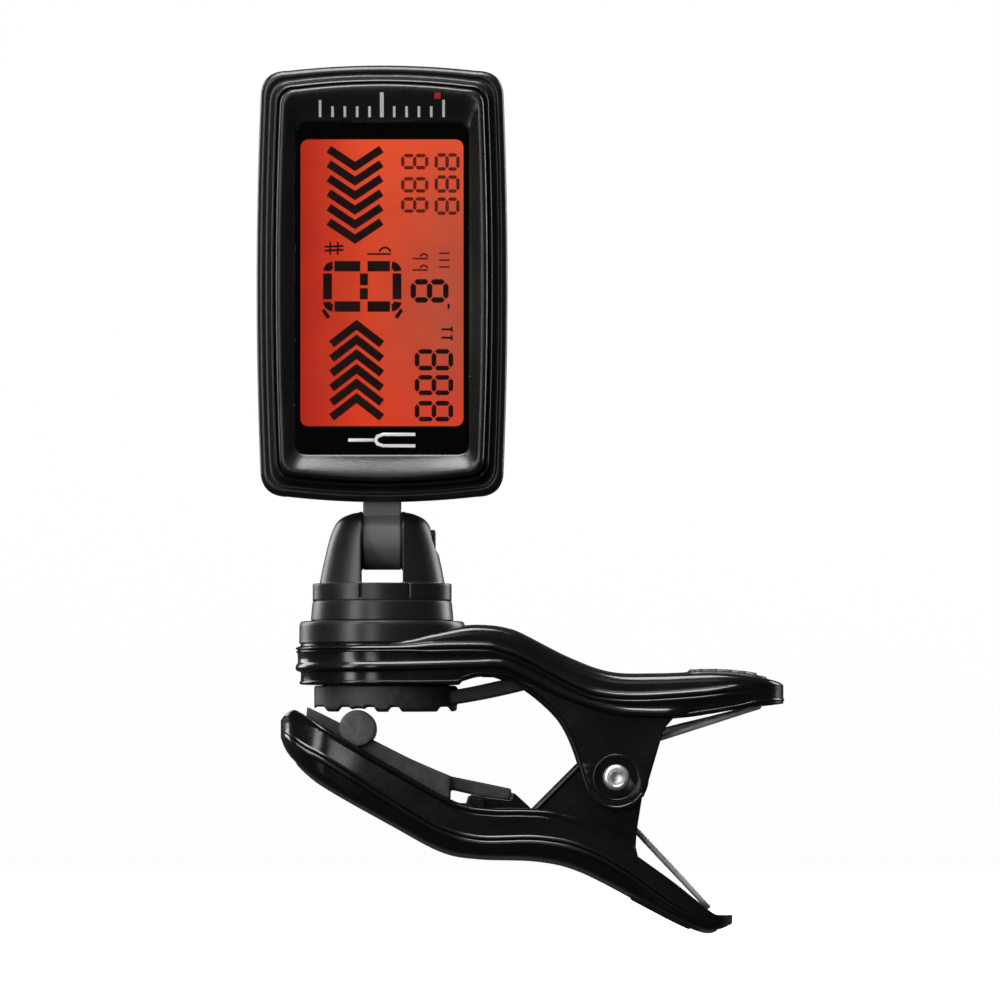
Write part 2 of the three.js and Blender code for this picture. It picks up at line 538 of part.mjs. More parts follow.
// The head's outline with bowed sides and rounded corners, drawn in by an inset.
function headOutline(inset) {
  const { halfWidth, halfHeight, sideBulge, endBulge, corner } = HEAD;
  const [a, b] = [halfWidth - inset, halfHeight - inset];
  const [x, z] = [a - sideBulge, b - endBulge];
  const r = Math.max(corner - inset * 0.45, 1.2);
  const bend = (from, control, to, steps) =>
    new THREE.QuadraticBezierCurve(...points([from, control, to])).getPoints(steps);
  const quarter = [
    ...bend([a, 0], [a, (z - r) / 2], [x, z - r], 5),
    ...bend([x, z - r], [x, z], [x - r, z], 5).slice(1),
    ...bend([x - r, z], [(x - r) / 2, b], [0, b], 4).slice(1),
  ];
  const flip = (sx, sz) => quarter.map((p) => new THREE.Vector2(sx * p.x, sz * p.y));
  return [...quarter, ...flip(-1, 1).reverse().slice(1), ...flip(-1, -1).slice(1),
    ...flip(1, -1).reverse().slice(1, -1)];
}

// A solid skinned over a stack of head outlines, one at each [inset, Y] level.
function headLoft(levels) {
  const stack = levels[0][1] < levels.at(-1)[1] ? levels : levels.slice().reverse();
  const rings = stack.map(([inset, y]) =>
    headOutline(inset).map((p) => new THREE.Vector3(p.x, y, p.y + HEAD.z)));
  const n = rings[0].length;
  const vertices = rings.flat();
  const faces = [];
  const centre = (ring) => vertices.push(new THREE.Vector3(0, ring[0].y, HEAD.z)) - 1;
  const [near, far] = [centre(rings[0]), centre(rings.at(-1))];
  for (let i = 0; i < n; i++) {
    const next = (i + 1) % n;
    faces.push(near, i, next);
    for (let k = 0; k + 1 < rings.length; k++) {
      const [a, b, c, d] = [k * n + i, k * n + next, (k + 1) * n + next, (k + 1) * n + i];
      faces.push(a, c, b, a, d, c);
    }
    const last = (rings.length - 1) * n;
    faces.push(far, last + next, last + i);
  }
  return solid(new THREE.BufferGeometry().setFromPoints(vertices).setIndex(faces));
}

const panel = ({ z = HEAD.z, halfWidth, halfHeight, corner }, grow, y0, y1) =>
  sidePrism(roundedRect(0, z, halfWidth + grow, halfHeight + grow, corner + grow), y0, y1);

const screwPlaces = SCREW_Z.flatMap((z) => [[-SCREW_X, z], [SCREW_X, z]]);

function frontFrame() {
  const { z: lensZ, halfWidth, halfHeight, corner, front, back } = LENS;
  const slope = new THREE.ExtrudeGeometry(
    roundedRect(0, lensZ, halfWidth + GAP, halfHeight + GAP, corner + GAP),
    { ...BEZEL_SLOPE, bevelSegments: 1 });
  const { radius, hole, floor } = SCREW_BOSS;
  const bosses = screwPlaces.map(([x, z]) => rodY(x, z, radius, SCREW_BOSS.front, SCREW_BOSS.back));
  return cut(join(cut(headLoft(FRONT_LEVELS), headLoft(FRONT_INSIDE)), ...bosses),
    solid(slope.rotateX(Math.PI / 2).translate(0, front - 1.5, 0)),
    panel(LENS, GAP, -SIDE, back + 0.02),
    panel(WINDOW, 0, -SIDE, SIDE),
    ...screwPlaces.map(([x, z]) => rodY(x, z, hole, floor, SIDE)));
}

function rearShell() {
  const outer = headLoft(REAR_LEVELS);
  const { half, radius, front, rear, top } = TONGUE;
  const knuckle = rodX(TILT.y, TILT.z, radius, -half, half, WIDE_ROUND);
  const neck = join(knuckle, box(-half, half, front, rear, TILT.z, top));
  const { front: postFront, back: postBack } = SCREW_POST;
  const posts = screwPlaces.map(([x, z]) => rodY(x, z, SCREW_POST.radius, postFront, postBack));
  const shell = join(cut(outer, headLoft(REAR_INSIDE)), join(...posts).intersect(outer), neck);
  const doorPanel = (grow, y0) => sidePrism(
    roundedRect(0, DOOR.z, DOOR.halfWidth + grow, DOOR.halfHeight + grow, DOOR.corner), y0, SIDE);
  return cut(shell,
    doorPanel(GAP, DOOR.front - 0.25),
    doorPanel(-DOOR.ledge, 0),
    rodY(0, DOOR.z - DOOR.halfHeight - 0.4, DOOR.notch, DOOR.front + GAP, SIDE),
    ...BUTTONS.map((b) => rodY(b.x, b.z, b.radius + CAP.clearance, 0, SIDE)),
    ...screwPlaces.map(([x, z]) => rodY(x, z, SCREW_POST.hole, -SIDE, SIDE)),
    ...screwPlaces.map(([x, z]) => rodY(x, z, SCREW_POST.sink, CASE_SCREW.y - 0.05, SIDE)),
    rodX(TILT.y, TILT.z, TILT_PIN.hole, -SIDE, SIDE));
}

function batteryHolder() {
  const { halfWidth, halfHeight, corner, back } = HOLDER;
  const block = sidePrism(roundedRect(0, CELL.z, halfWidth, halfHeight, corner), BOARD.back + 0.1, back);
  const slotHalf = CONTACT.width / 2 + 0.4;
  return cut(block, rodY(0, CELL.z, CELL.radius + GAP, -1, SIDE, WIDE_ROUND),
    box(CELL.radius - 0.6, halfWidth + 0.2, 0, SIDE, CELL.z - slotHalf, CELL.z + slotHalf));
}

function batteryDoor() {
  const { z, halfWidth, halfHeight, corner, front, back, ribWidth, ribPitch, ribHalf, hook } = DOOR;
  const plate = sidePrism(roundedRect(0, z, halfWidth, halfHeight, corner), front, back);
  const ribs = Array.from({ length: DOOR.ribs }, (_, i) => {
    const low = z - halfHeight + 3.4 + ribPitch * i;
    return box(-ribHalf, ribHalf, back - 0.1, back + DOOR.ribRise, low, low + ribWidth);
  });
  const edge = halfHeight - DOOR.ledge - GAP;
  return join(plate, ...ribs, box(-3, 3, front - hook, front + 0.1, z + edge - hook, z + edge),
    box(-2.2, 2.2, front - 0.8, front + 0.1, z - edge, z - edge + 0.8));
}

// A button: its cap, a skirt that keeps it in the shell, and a nub that presses the switch.
const button = ({ x, z, radius }) => join(
  rodY(x, z, radius, CAP.front + 0.1, CAP.back),
  rodY(x, z, radius + CAP.skirt, CAP.front, CAP.skirtBack),
  rodY(x, z, CAP.nub, CAP.nubFront, CAP.front + 0.1));

const onBoard = BOARD.back + ON_BOARD;

const tactSwitch = ({ x, z }) => join(
  box(x - SWITCH.half, x + SWITCH.half, onBoard, SWITCH.back, z - SWITCH.half, z + SWITCH.half),
  rodY(x, z, SWITCH.plunger, SWITCH.back - 0.1, SWITCH.plungerBack));

const circuitBoard = () => cut(panel(BOARD, 0, BOARD.front, BOARD.back),
  ...screwPlaces.map(([x, z]) => rodY(x, z, BOARD.notch, -SIDE, SIDE)));

const coinCell = () => join(
  rodY(0, CELL.z, CELL.radius, CELL.step, CELL.back, WIDE_ROUND),
  rodY(0, CELL.z, CELL.radius - CELL.rim, CELL.front, CELL.step + 0.5, WIDE_ROUND));

// A leaf that stands beside the cell, on a foot soldered to the board.
function positiveContact() {
  const { width, thick, foot, top } = CONTACT;
  const inner = CELL.radius + 0.35;
  const bottom = CELL.z - width / 2;
  const leaf = box(inner, inner + thick, onBoard, top, bottom, bottom + width);
  const bed = box(CELL.radius - 1.6, inner + thick, onBoard, onBoard + foot, bottom, bottom + width);
  return cut(join(bed, leaf), rodY(0, CELL.z, CELL.radius + 0.1, -SIDE, SIDE, WIDE_ROUND));
}

const negativeContact = () => box(-3, 3, onBoard, onBoard + CONTACT.thick, CELL.z - 4, CELL.z + 4);

const piezoSensor = () => join(
  rodY(0, PIEZO.z, PIEZO.radius, PIEZO.back - PIEZO.thick, PIEZO.back, WIDE_ROUND),
  rodY(0, PIEZO.z, PIEZO.inner, PIEZO.front, PIEZO.back - PIEZO.thick + 0.05, WIDE_ROUND));

// ---------------------------------------------------------------- assembly

function clipGroup() {
  const clip = new THREE.Group();
  add(clip, 'upper_jaw', upperJaw(), MATERIAL.shell);
  add(clip, 'upper_pad', upperPad(), MATERIAL.rubber);
  add(clip, 'upper_thumb_grip', thumbGrip(spline(UPPER.top), UPPER_GRIP, 1), MATERIAL.rubber);
  add(clip, 'pivot_rivet', pivotRivet(), MATERIAL.steel);
  add(clip, 'torsion_spring', torsionSpring(), MATERIAL.steel);
  add(clip, 'lower_jaw', lowerJaw(), MATERIAL.shell);
  add(clip, 'lower_pad', lowerPad(), MATERIAL.rubber);
  add(clip, 'lower_thumb_grip', thumbGrip(spline(LOWER.crown), LOWER_GRIP, -1), MATERIAL.rubber);
  return clip;
}

function turretGroup() {
  const turret = new THREE.Group();
  add(turret, 'turret_fork', turretFork(), MATERIAL.shell);
  add(turret, 'swivel_ring', swivelRing(), MATERIAL.shell);
  add(turret, 'friction_washer', washer(6.2, 2.7, 7.3, 7.85), MATERIAL.inner);
  add(turret, 'swivel_washer', washer(5, 1.5, 6.6, 7.2), MATERIAL.steel);
  add(turret, 'swivel_screw', screw(SWIVEL_SCREW).translate([0, 0, SWIVEL_SCREW.z]), MATERIAL.steel);
  add(turret, 'tilt_screw', tiltScrew(), MATERIAL.steel);
  add(turret, 'tilt_nut', tiltNut(), MATERIAL.steel);
  return turret;
}

function headGroup() {
  const head = new THREE.Group();
  const plate = ({ halfWidth, front }, back, bottom, top) =>
    box(-halfWidth, halfWidth, front, back, HEAD.z + bottom, HEAD.z + top);
  add(head, 'front_frame', frontFrame(), MATERIAL.shell);
  add(head, 'rear_shell', rearShell(), MATERIAL.shell);
  add(head, 'display_window', panel(LENS, 0, LENS.front, LENS.back), MATERIAL.lens);
  add(head, 'lcd_panel', plate(LCD, LCD.back, -LCD.halfHeight, LCD.halfHeight), MATERIAL.lcd);
  add(head, 'light_guide', plate(GUIDE, GUIDE.back, GUIDE.bottom, GUIDE.top), MATERIAL.guide);
  const underBoard = BOARD.front - ON_BOARD;
  add(head, 'contact_strip', plate(STRIP, underBoard, STRIP.bottom, STRIP.top), MATERIAL.rubber);
  add(head, 'circuit_board', circuitBoard(), MATERIAL.board);
  const chip = box(-CHIP.half, CHIP.half, onBoard, onBoard + CHIP.height, ...CHIP.z);
  add(head, 'tuner_chip', chip, MATERIAL.chip);
  for (const [side, x] of [['left', -LED.x], ['right', LED.x]]) {
    const led = box(x - LED.half, x + LED.half, LED.front, underBoard, LED.z, LED.z + LED.height);
    add(head, `backlight_led_${side}`, led, MATERIAL.guide);
  }
  for (const spec of BUTTONS) {
    add(head, `${spec.name}_switch`, tactSwitch(spec), MATERIAL.steel);
    add(head, `${spec.name}_button`, button(spec), MATERIAL.trim);
  }
  add(head, 'battery_holder', batteryHolder(), MATERIAL.inner);
  add(head, 'coin_cell', coinCell(), MATERIAL.steel);
  add(head, 'battery_contact_positive', positiveContact(), MATERIAL.brass);
  add(head, 'battery_contact_negative', negativeContact(), MATERIAL.brass);
  add(head, 'battery_door', batteryDoor(), MATERIAL.trim);
  add(head, 'piezo_sensor', piezoSensor(), MATERIAL.brass);
  screwPlaces.forEach(([x, z], i) => {
    const turned = screw(CASE_SCREW).rotate([90, 0, 0]).translate([x, CASE_SCREW.y, z]);
    add(head, `case_screw_${i + 1}`, turned, MATERIAL.steel);
  });
  return head;
}

const tuner = new THREE.Group();
tuner.name = 'clip_on_tuner';
tuner.add(clipGroup(), turretGroup(), headGroup());

export default tuner;
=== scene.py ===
"""A clip-on instrument tuner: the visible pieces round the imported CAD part. Sizes are in millimetres,
in the part's own frame: +X runs along the jaws to the handles, and the display faces -Y."""
import math

import bmesh
import bpy
import numpy as np
from mathutils import Matrix, Vector


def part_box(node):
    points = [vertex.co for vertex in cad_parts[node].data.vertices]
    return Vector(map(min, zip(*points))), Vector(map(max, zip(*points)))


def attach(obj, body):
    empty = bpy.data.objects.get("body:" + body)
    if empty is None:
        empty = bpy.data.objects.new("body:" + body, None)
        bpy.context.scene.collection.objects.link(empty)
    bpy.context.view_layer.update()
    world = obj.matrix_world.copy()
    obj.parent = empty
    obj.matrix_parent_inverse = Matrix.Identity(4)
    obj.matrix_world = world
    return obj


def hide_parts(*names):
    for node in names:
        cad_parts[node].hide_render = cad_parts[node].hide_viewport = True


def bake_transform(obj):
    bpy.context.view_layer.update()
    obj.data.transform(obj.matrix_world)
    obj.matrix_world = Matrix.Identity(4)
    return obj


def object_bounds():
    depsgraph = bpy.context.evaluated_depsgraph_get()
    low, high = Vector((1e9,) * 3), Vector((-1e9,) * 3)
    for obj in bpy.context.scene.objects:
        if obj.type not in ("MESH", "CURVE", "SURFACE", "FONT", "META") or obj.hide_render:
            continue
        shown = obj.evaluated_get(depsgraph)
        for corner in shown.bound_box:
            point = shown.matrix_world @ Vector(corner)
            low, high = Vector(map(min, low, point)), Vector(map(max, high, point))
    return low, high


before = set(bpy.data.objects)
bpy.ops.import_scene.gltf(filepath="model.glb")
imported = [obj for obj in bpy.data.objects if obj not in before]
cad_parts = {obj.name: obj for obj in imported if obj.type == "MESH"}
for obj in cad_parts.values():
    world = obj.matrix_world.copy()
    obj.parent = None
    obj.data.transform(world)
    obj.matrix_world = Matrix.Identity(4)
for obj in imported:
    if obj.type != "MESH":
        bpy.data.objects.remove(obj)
cad_low, cad_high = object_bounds()

MM = 0.001
scene = bpy.context.scene


def centre_of(node):
    """Middle of a CAD node's box, in millimetres."""
    low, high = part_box(node)
    return np.array((low + high) / 2) / MM


PIVOT_X, _, PIVOT_Z = centre_of("pivot_rivet")
FLOOR_Z = cad_low.z / MM - 0.4

# ---------------------------------------------------------------- lines and outlines


def spline(points, steps=8):
    """A smooth line through the points."""
    p = np.array(points, float)
    ends = np.vstack([p[:1], p, p[-1:]])
    t = (np.arange(steps) / steps)[:, None]
    stretches = []
    for a, b, c, d in zip(ends, ends[1:], ends[2:], ends[3:]):
        leave, arrive = (c - a) / 2, (d - b) / 2
        cubic = 2 * b - 2 * c + leave + arrive
        square = 3 * c - 3 * b - 2 * leave - arrive
        stretches.append(((cubic * t + square) * t + leave) * t + b)
    return np.vstack(stretches + [p[-1:]])


def height(points):
    """The smooth line through [x, z] points as a function of x."""
    line = spline(sorted(points))
    return lambda x: np.interp(x, line[:, 0], line[:, 1])


def evenly(points, count):
    """The same line with its points an even distance apart."""
    run = np.r_[0, np.cumsum(np.linalg.norm(np.diff(points, axis=0), axis=1))]
    at = np.linspace(0, run[-1], count)
    return np.column_stack([np.interp(at, run, c) for c in np.asarray(points).T])


def arc(x, z, radius, start, end, steps=16):
    """Points of an arc, from one angle in degrees to another."""
    turn = np.radians(np.linspace(start, end, steps + 1))
    return np.column_stack([x + radius * np.cos(turn), z + radius * np.sin(turn)])


def rounded(x, z, half_width, half_height, radius, steps=6):
    """A rectangle with rounded corners."""
    w, h = half_width - radius, half_height - radius
    corners = [(w, h, 0), (-w, h, 90), (-w, -h, 180), (w, -h, 270)]
    return np.vstack([arc(x + u, z + v, radius, a, a + 90, steps) for u, v, a in corners])


def unit(rows):
    """The rows, each at length one."""
    return rows / np.linalg.norm(rows, axis=1)[:, None]


def shifted(line, distance):
    """The line moved to its left."""
    along = unit(np.gradient(line, axis=0))
    return line + distance * np.column_stack([-along[:, 1], along[:, 0]])


def smoothstep(t):
    """An S-curve from 0 to 1."""
    t = np.clip(t, 0, 1)
    return t * t * (3 - 2 * t)


# ---------------------------------------------------------------- meshes


def finish_mesh(mesh, sharp=35):
    """Welds the mesh, points its faces outwards and shades it smooth up to an angle in degrees."""
    bm = bmesh.new()
    bm.from_mesh(mesh)
    bmesh.ops.remove_doubles(bm, verts=bm.verts, dist=0.003 * MM)
    bmesh.ops.dissolve_degenerate(bm, edges=bm.edges, dist=1e-7)
    bmesh.ops.recalc_face_normals(bm, faces=bm.faces)
    bm.to_mesh(mesh)
    bm.free()
    mesh.shade_smooth()
    mesh.set_sharp_from_angle(angle=math.radians(sharp))


def link(name, mesh, sharp=35):
    finish_mesh(mesh, sharp)
    obj = bpy.data.objects.new(name, mesh)
    scene.collection.objects.link(obj)
    return obj


def solid(name, vertices, faces, sharp=35):
    """An object from vertices in millimetres."""
    mesh = bpy.data.meshes.new(name)
    mesh.from_pydata((np.asarray(vertices, float).reshape(-1, 3) * MM).tolist(), [], faces)
    return link(name, mesh, sharp)


def skin(name, rings, closed=False, sharp=35):
    """A surface over rings of points. It is capped at both ends, or its last ring meets its first."""
    rings = np.asarray(rings, float)
    ids = np.arange(rings.shape[0] * rings.shape[1]).reshape(rings.shape[:2])
    caps = [] if closed else [ids[0].tolist(), ids[-1][::-1].tolist()]
    if closed:
        ids = np.vstack([ids, ids[:1]])
    a, b = ids[:-1], ids[1:]
    quads = np.stack([a, np.roll(a, -1, 1), np.roll(b, -1, 1), b], axis=-1)
    return solid(name, rings, quads.reshape(-1, 4).tolist() + caps, sharp)


def lathe(name, profile, centre, axis="Z", count=96, closed=False):
    """A profile of (radius, height) turned round an axis through the centre."""
    turn = np.linspace(0, 2 * math.pi, count, endpoint=False)
    radius, along = np.asarray(profile, float).T
    u, v = np.outer(radius, np.cos(turn)), np.outer(radius, np.sin(turn))
    w = np.repeat(along[:, None], count, axis=1)
    order = {"X": (w, u, v), "Y": (v, w, u), "Z": (u, v, w)}[axis]
    return skin(name, np.stack(order, axis=-1) + np.asarray(centre, float), closed)


def drum(name, centre, radius, low, high, axis="Y", count=64):
    """A plain cylinder, for cutting and joining only."""
    return lathe(name, [(0, low), (radius, low), (radius, high), (0, high)], centre, axis, count)


def chamfered(radius, half, chamfer):
    """The profile of a short cylinder with chamfered ends."""
    return [(0, -half), (radius - chamfer, -half), (radius, -half + chamfer), (radius, half - chamfer),
        (radius - chamfer, half), (0, half)]


def tube(name, path, radius, sides=12):
    """A round wire along a path, with domed ends."""
    path = np.asarray(path, float)
    along = unit(np.gradient(path, axis=0))
    side = np.cross(along[0], [0.3, 0.5, 0.8])
    turn = np.linspace(0, 2 * math.pi, sides, endpoint=False)[:, None]
    ends = np.radians([90, 60, 30])
    rings = []

    def ring(centre, tangent, across, size):
        up = np.cross(tangent, across)
        rings.append(centre + size * (np.cos(turn) * across + np.sin(turn) * up))

    for i, (point, tangent) in enumerate(zip(path, along)):
        side = side - tangent * (side @ tangent)
        side /= np.linalg.norm(side)
        if i == 0:
            for a in ends:
                ring(point - tangent * radius * math.sin(a), tangent, side, radius * math.cos(a) + 1e-4)
        ring(point, tangent, side, radius)
        if i == len(path) - 1:
            for a in ends[::-1]:
                ring(point + tangent * radius * math.sin(a), tangent, side, radius * math.cos(a) + 1e-4)
    return skin(name, rings)


SIDEWAYS = Matrix(((1, 0, 0, 0), (0, 0, -1, 0), (0, 1, 0, 0), (0, 0, 0, 1)))  # from X and Y to X and Z


def plate(name, outline, low, high, bevel=0.2, holes=()):
    """An outline in X and Z with holes, from one Y to another, with rounded edges."""
    curve = bpy.data.curves.new(name, "CURVE")
    curve.dimensions = "2D"
    curve.fill_mode = "BOTH"
    for loop in (outline, *holes):
        run = curve.splines.new("POLY")
        run.points.add(len(loop) - 1)
        run.points.foreach_set("co", np.column_stack([loop, np.zeros(len(loop)),
            np.ones(len(loop))]).ravel())
        run.use_cyclic_u = True
    curve.extrude = (high - low) / 2 - bevel
    curve.bevel_depth = bevel
    curve.bevel_resolution = 2
    curve.offset = -bevel
    drawing = bpy.data.objects.new(name, curve)
    scene.collection.objects.link(drawing)
    depsgraph = bpy.context.evaluated_depsgraph_get()
    mesh = bpy.data.meshes.new_from_object(drawing.evaluated_get(depsgraph))
    bpy.data.objects.remove(drawing)
    bpy.data.curves.remove(curve)
    mesh.transform(Matrix.Scale(MM, 4) @ Matrix.Translation((0, (low + high) / 2, 0)) @ SIDEWAYS)
    return link(name, mesh)


def apply_modifiers(obj, sharp=35):
    depsgraph = bpy.context.evaluated_depsgraph_get()
    mesh = bpy.data.meshes.new_from_object(obj.evaluated_get(depsgraph))
    obj.modifiers.clear()
    obj.data = mesh
    finish_mesh(mesh, sharp)


def joined(name, parts, sharp=35):
    """Several meshes as one object."""
    bm = bmesh.new()
    for part in parts:
        bm.from_mesh(part.data)
        bpy.data.objects.remove(part)
    mesh = bpy.data.meshes.new(name)
    bm.to_mesh(mesh)
    bm.free()
    return link(name, mesh, sharp)


def carved(obj, cutters, operation="DIFFERENCE", bevel=0, sharp=35):
    """Cuts other solids out of the object, or adds them to it, and rounds the edges that it leaves."""
    for cutter in cutters:
        boolean = obj.modifiers.new("boolean", "BOOLEAN")
        boolean.operation = operation
        boolean.object = cutter
        boolean.solver = "EXACT"
        boolean.use_self = True
        apply_modifiers(obj, sharp)
        bpy.data.objects.remove(cutter)
    if bevel:
        rounding = obj.modifiers.new("bevel", "BEVEL")
        rounding.width = bevel * MM
        rounding.segments = 2
        rounding.limit_method = "ANGLE"
        rounding.angle_limit = math.radians(50)
        apply_modifiers(obj, sharp)
    return obj


def melted(obj, voxel, passes):
    """Turns overlapping solids into one skin with soft edges and corners."""
    remesh = obj.modifiers.new("remesh", "REMESH")
    remesh.mode = "VOXEL"
    remesh.voxel_size = voxel * MM
    smooth = obj.modifiers.new("smooth", "SMOOTH")
    smooth.factor = 0.5
    smooth.iterations = passes
    apply_modifiers(obj, 60)


# ---------------------------------------------------------------- materials


class Paint:
    """A node material being built: each call adds one node and returns its output."""

    def __init__(self, name):
        self.material = bpy.data.materials.new(name)
        self.material.use_nodes = True
        self.tree = self.material.node_tree
        self.tree.nodes.clear()
        self.output = self.tree.nodes.new("ShaderNodeOutputMaterial")
        self.place = self.node("ShaderNodeTexCoord").outputs["Object"]

    def node(self, kind, **inputs):
        made = self.tree.nodes.new(kind)
        for socket, value in inputs.items():
            self.feed(made.inputs[socket.replace("_", " ")], value)
        return made

    def feed(self, socket, value):
        if isinstance(value, bpy.types.NodeSocket):
            self.tree.links.new(value, socket)
        else:
            socket.default_value = value

    def noise(self, size, detail=3.0, rough=0.55):
        """Noise whose features are about this many millimetres across."""
        made = self.node("ShaderNodeTexNoise", Vector=self.place, Scale=1 / (size * MM), Detail=detail)
        made.inputs["Roughness"].default_value = rough
        return made.outputs[0]

    def cell_edges(self, size):
        """The distance to the edge of a cell this many millimetres across."""
        made = self.node("ShaderNodeTexVoronoi", Vector=self.place, Scale=1 / (size * MM))
        made.feature = "DISTANCE_TO_EDGE"
        return made.outputs["Distance"]

    def ranged(self, value, low, high, start=0.0, end=1.0):
        """The value taken from the span start to end, onto the span low to high."""
        made = self.node("ShaderNodeMapRange", Value=value, From_Min=start, From_Max=end,
            To_Min=low, To_Max=high)
        return made.outputs[0]

    def math(self, operation, a, b):
        made = self.tree.nodes.new("ShaderNodeMath")
        made.operation = operation
        self.feed(made.inputs[0], a)
        self.feed(made.inputs[1], b)
        return made.outputs[0]

    def mix(self, factor, a, b, blend="MIX"):
        made = self.tree.nodes.new("ShaderNodeMix")
        made.data_type = "RGBA"
        made.blend_type = blend
        self.feed(made.inputs["Factor"], factor)
        self.feed(made.inputs["A"], a)
        self.feed(made.inputs["B"], b)
        return made.outputs["Result"]

    def edges(self):
        """1 along outward edges, 0 elsewhere."""
        return self.ranged(self.node("ShaderNodeNewGeometry").outputs["Pointiness"], 0, 1, 0.52, 0.6)

    def bump(self, relief, depth, strength=1.0, under=None):
        """Relief this many millimetres deep, on top of another relief's normal."""
        made = self.node("ShaderNodeBump", Height=relief, Strength=strength, Distance=depth * MM)
        if under is not None:
            self.feed(made.inputs["Normal"], under)
        return made.outputs[0]

    def surface(self, **inputs):
        shader = self.node("ShaderNodeBsdfPrincipled", **inputs)
        self.tree.links.new(shader.outputs[0], self.output.inputs["Surface"])
        return self.material


def grey(value, tint=(1, 1, 1)):
    return (value * tint[0], value * tint[1], value * tint[2], 1)


def moulded(name, shade, gloss, grain=0.25, grain_depth=0.004, worn=0.0, tint=(1, 1, 1)):
    """Injection-moulded plastic: fine grain, cloudy gloss and edges a little polished by handling."""
    p = Paint(name)
    clouds = p.noise(9, 4)
    fine = p.noise(grain, 2, 0.6)
    colour = p.mix(clouds, grey(shade * 0.75, tint), grey(shade * 1.25, tint))
    colour = p.mix(p.math("MULTIPLY", p.edges(), worn), colour, grey(shade * 4, tint))
    rough = p.math("ADD", p.ranged(clouds, gloss - 0.05, gloss + 0.05, 0.3, 0.7),
        p.ranged(fine, -0.03, 0.03, 0.3, 0.7))
    relief = p.bump(fine, grain_depth)
    relief = p.bump(p.noise(2.4, 2), grain_depth * 2.5, 0.5, relief)
    return p.surface(Base_Color=colour, Roughness=rough, Normal=relief)


def rubber(name, shade, gloss):
    """Soft rubber: a matt, faintly dusty skin with moulding speckle."""
    p = Paint(name)
    dust = p.noise(1.2, 5, 0.7)
    speckle = p.noise(0.16, 2, 0.6)
    colour = p.mix(p.ranged(dust, 0, 1, 0.45, 0.8), grey(shade), grey(shade * 2.2))
    rough = p.ranged(dust, gloss - 0.06, gloss + 0.1, 0.3, 0.7)
    relief = p.bump(speckle, 0.012)
    relief = p.bump(dust, 0.02, 0.4, relief)
    return p.surface(Base_Color=colour, Roughness=rough, Normal=relief)


def metal(name, colour, gloss, pits=0.0, metallic=1.0):
    """Plated metal with fine marks and a little tarnish."""
    p = Paint(name)
    marks = p.noise(0.12, 3, 0.7)
    tarnish = p.noise(1.6, 4)
    dull = tuple(c * 0.72 for c in colour[:3]) + (1,)
    shade = p.mix(p.ranged(tarnish, 0, 0.7, 0.45, 0.8), colour, dull)
    rough = p.math("ADD", p.ranged(marks, gloss * 0.7, gloss * 1.3, 0.3, 0.7),
        p.ranged(tarnish, 0, 0.12, 0.5, 0.8))
    relief = p.bump(marks, 0.003 + pits)
    return p.surface(Base_Color=shade, Roughness=rough, Normal=relief, Metallic=metallic)


def clear_lens():
    """Clear polycarbonate with a barely wavy face."""
    p = Paint("clear_lens")
    relief = p.bump(p.noise(14, 2), 0.01, 0.3)
    haze = p.ranged(p.noise(4, 4), 0.0, 0.05, 0.4, 0.8)
    return p.surface(Base_Color=(0.97, 0.97, 0.98, 1), Roughness=haze, Normal=relief,
        Transmission_Weight=1.0, IOR=1.45, Specular_IOR_Level=0.25)


def backlit_lcd():
    """The glowing display: darker and redder at its left edge as painted shade, brightest at the top,
    with a fine film grain.
    """
    p = Paint("backlit_lcd")
    low, high = (np.array(corner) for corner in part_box("lcd_panel"))
    axes = p.node("ShaderNodeSeparateXYZ", Vector=p.place)
    across = p.ranged(axes.outputs["X"], 0, 1, low[0], high[0])
    up = p.ranged(axes.outputs["Z"], 0, 1, low[2], high[2])
    # Painted shade: this mask darkens the glow towards the display's left edge.
    left = p.ranged(across, 1, 0, 0.05, 0.42)
    right = p.ranged(across, 0, 1, 0.4, 0.85)
    top = p.ranged(up, 0, 1, 0.55, 1.0)
    bottom = p.ranged(up, 1, 0, 0.0, 0.3)
    colour = p.mix(right, (0.70, 0.058, 0.018, 1), (0.50, 0.078, 0.040, 1))
    # The left zone's dim, deep red glow is painted shade.
    zones = ((top, 0.75, (0.90, 0.090, 0.026, 1)), (bottom, 0.7, (0.80, 0.040, 0.012, 1)),
        (left, 0.9, (0.42, 0.014, 0.007, 1)))
    for zone, share, glow in zones:
        colour = p.mix(p.math("MULTIPLY", zone, share), colour, glow)
    cloudy = p.mix(p.ranged(p.noise(5, 3), 0, 1, 0.35, 0.75), grey(0.93), grey(1.05))
    colour = p.mix(1.0, colour, cloudy, "MULTIPLY")
    film = p.bump(p.noise(0.09, 1), 0.004)
    return p.surface(Base_Color=(0.02, 0.004, 0.002, 1), Roughness=0.5, Normal=film,
        Specular_IOR_Level=0.05, Emission_Color=colour, Emission_Strength=1.0)


def printed(name, colour):
    """Screen-printed ink with soft coverage."""
    p = Paint(name)
    cover = p.noise(0.2, 3, 0.7)
    shade = p.mix(p.ranged(cover, 0, 1, 0.3, 0.7), tuple(c * 0.86 for c in colour[:3]) + (1,), colour)
    return p.surface(Base_Color=shade, Roughness=0.45, Normal=p.bump(cover, 0.004))


def crystal(name, base, deep, bright):
    """A darkened display segment, with some of the backlight showing through."""
    p = Paint(name)
    cover = p.noise(0.5, 3)
    return p.surface(Base_Color=base, Roughness=0.4, Emission_Color=p.mix(cover, deep, bright),
        Emission_Strength=1.0, Normal=p.bump(cover, 0.002), Specular_IOR_Level=0.05)


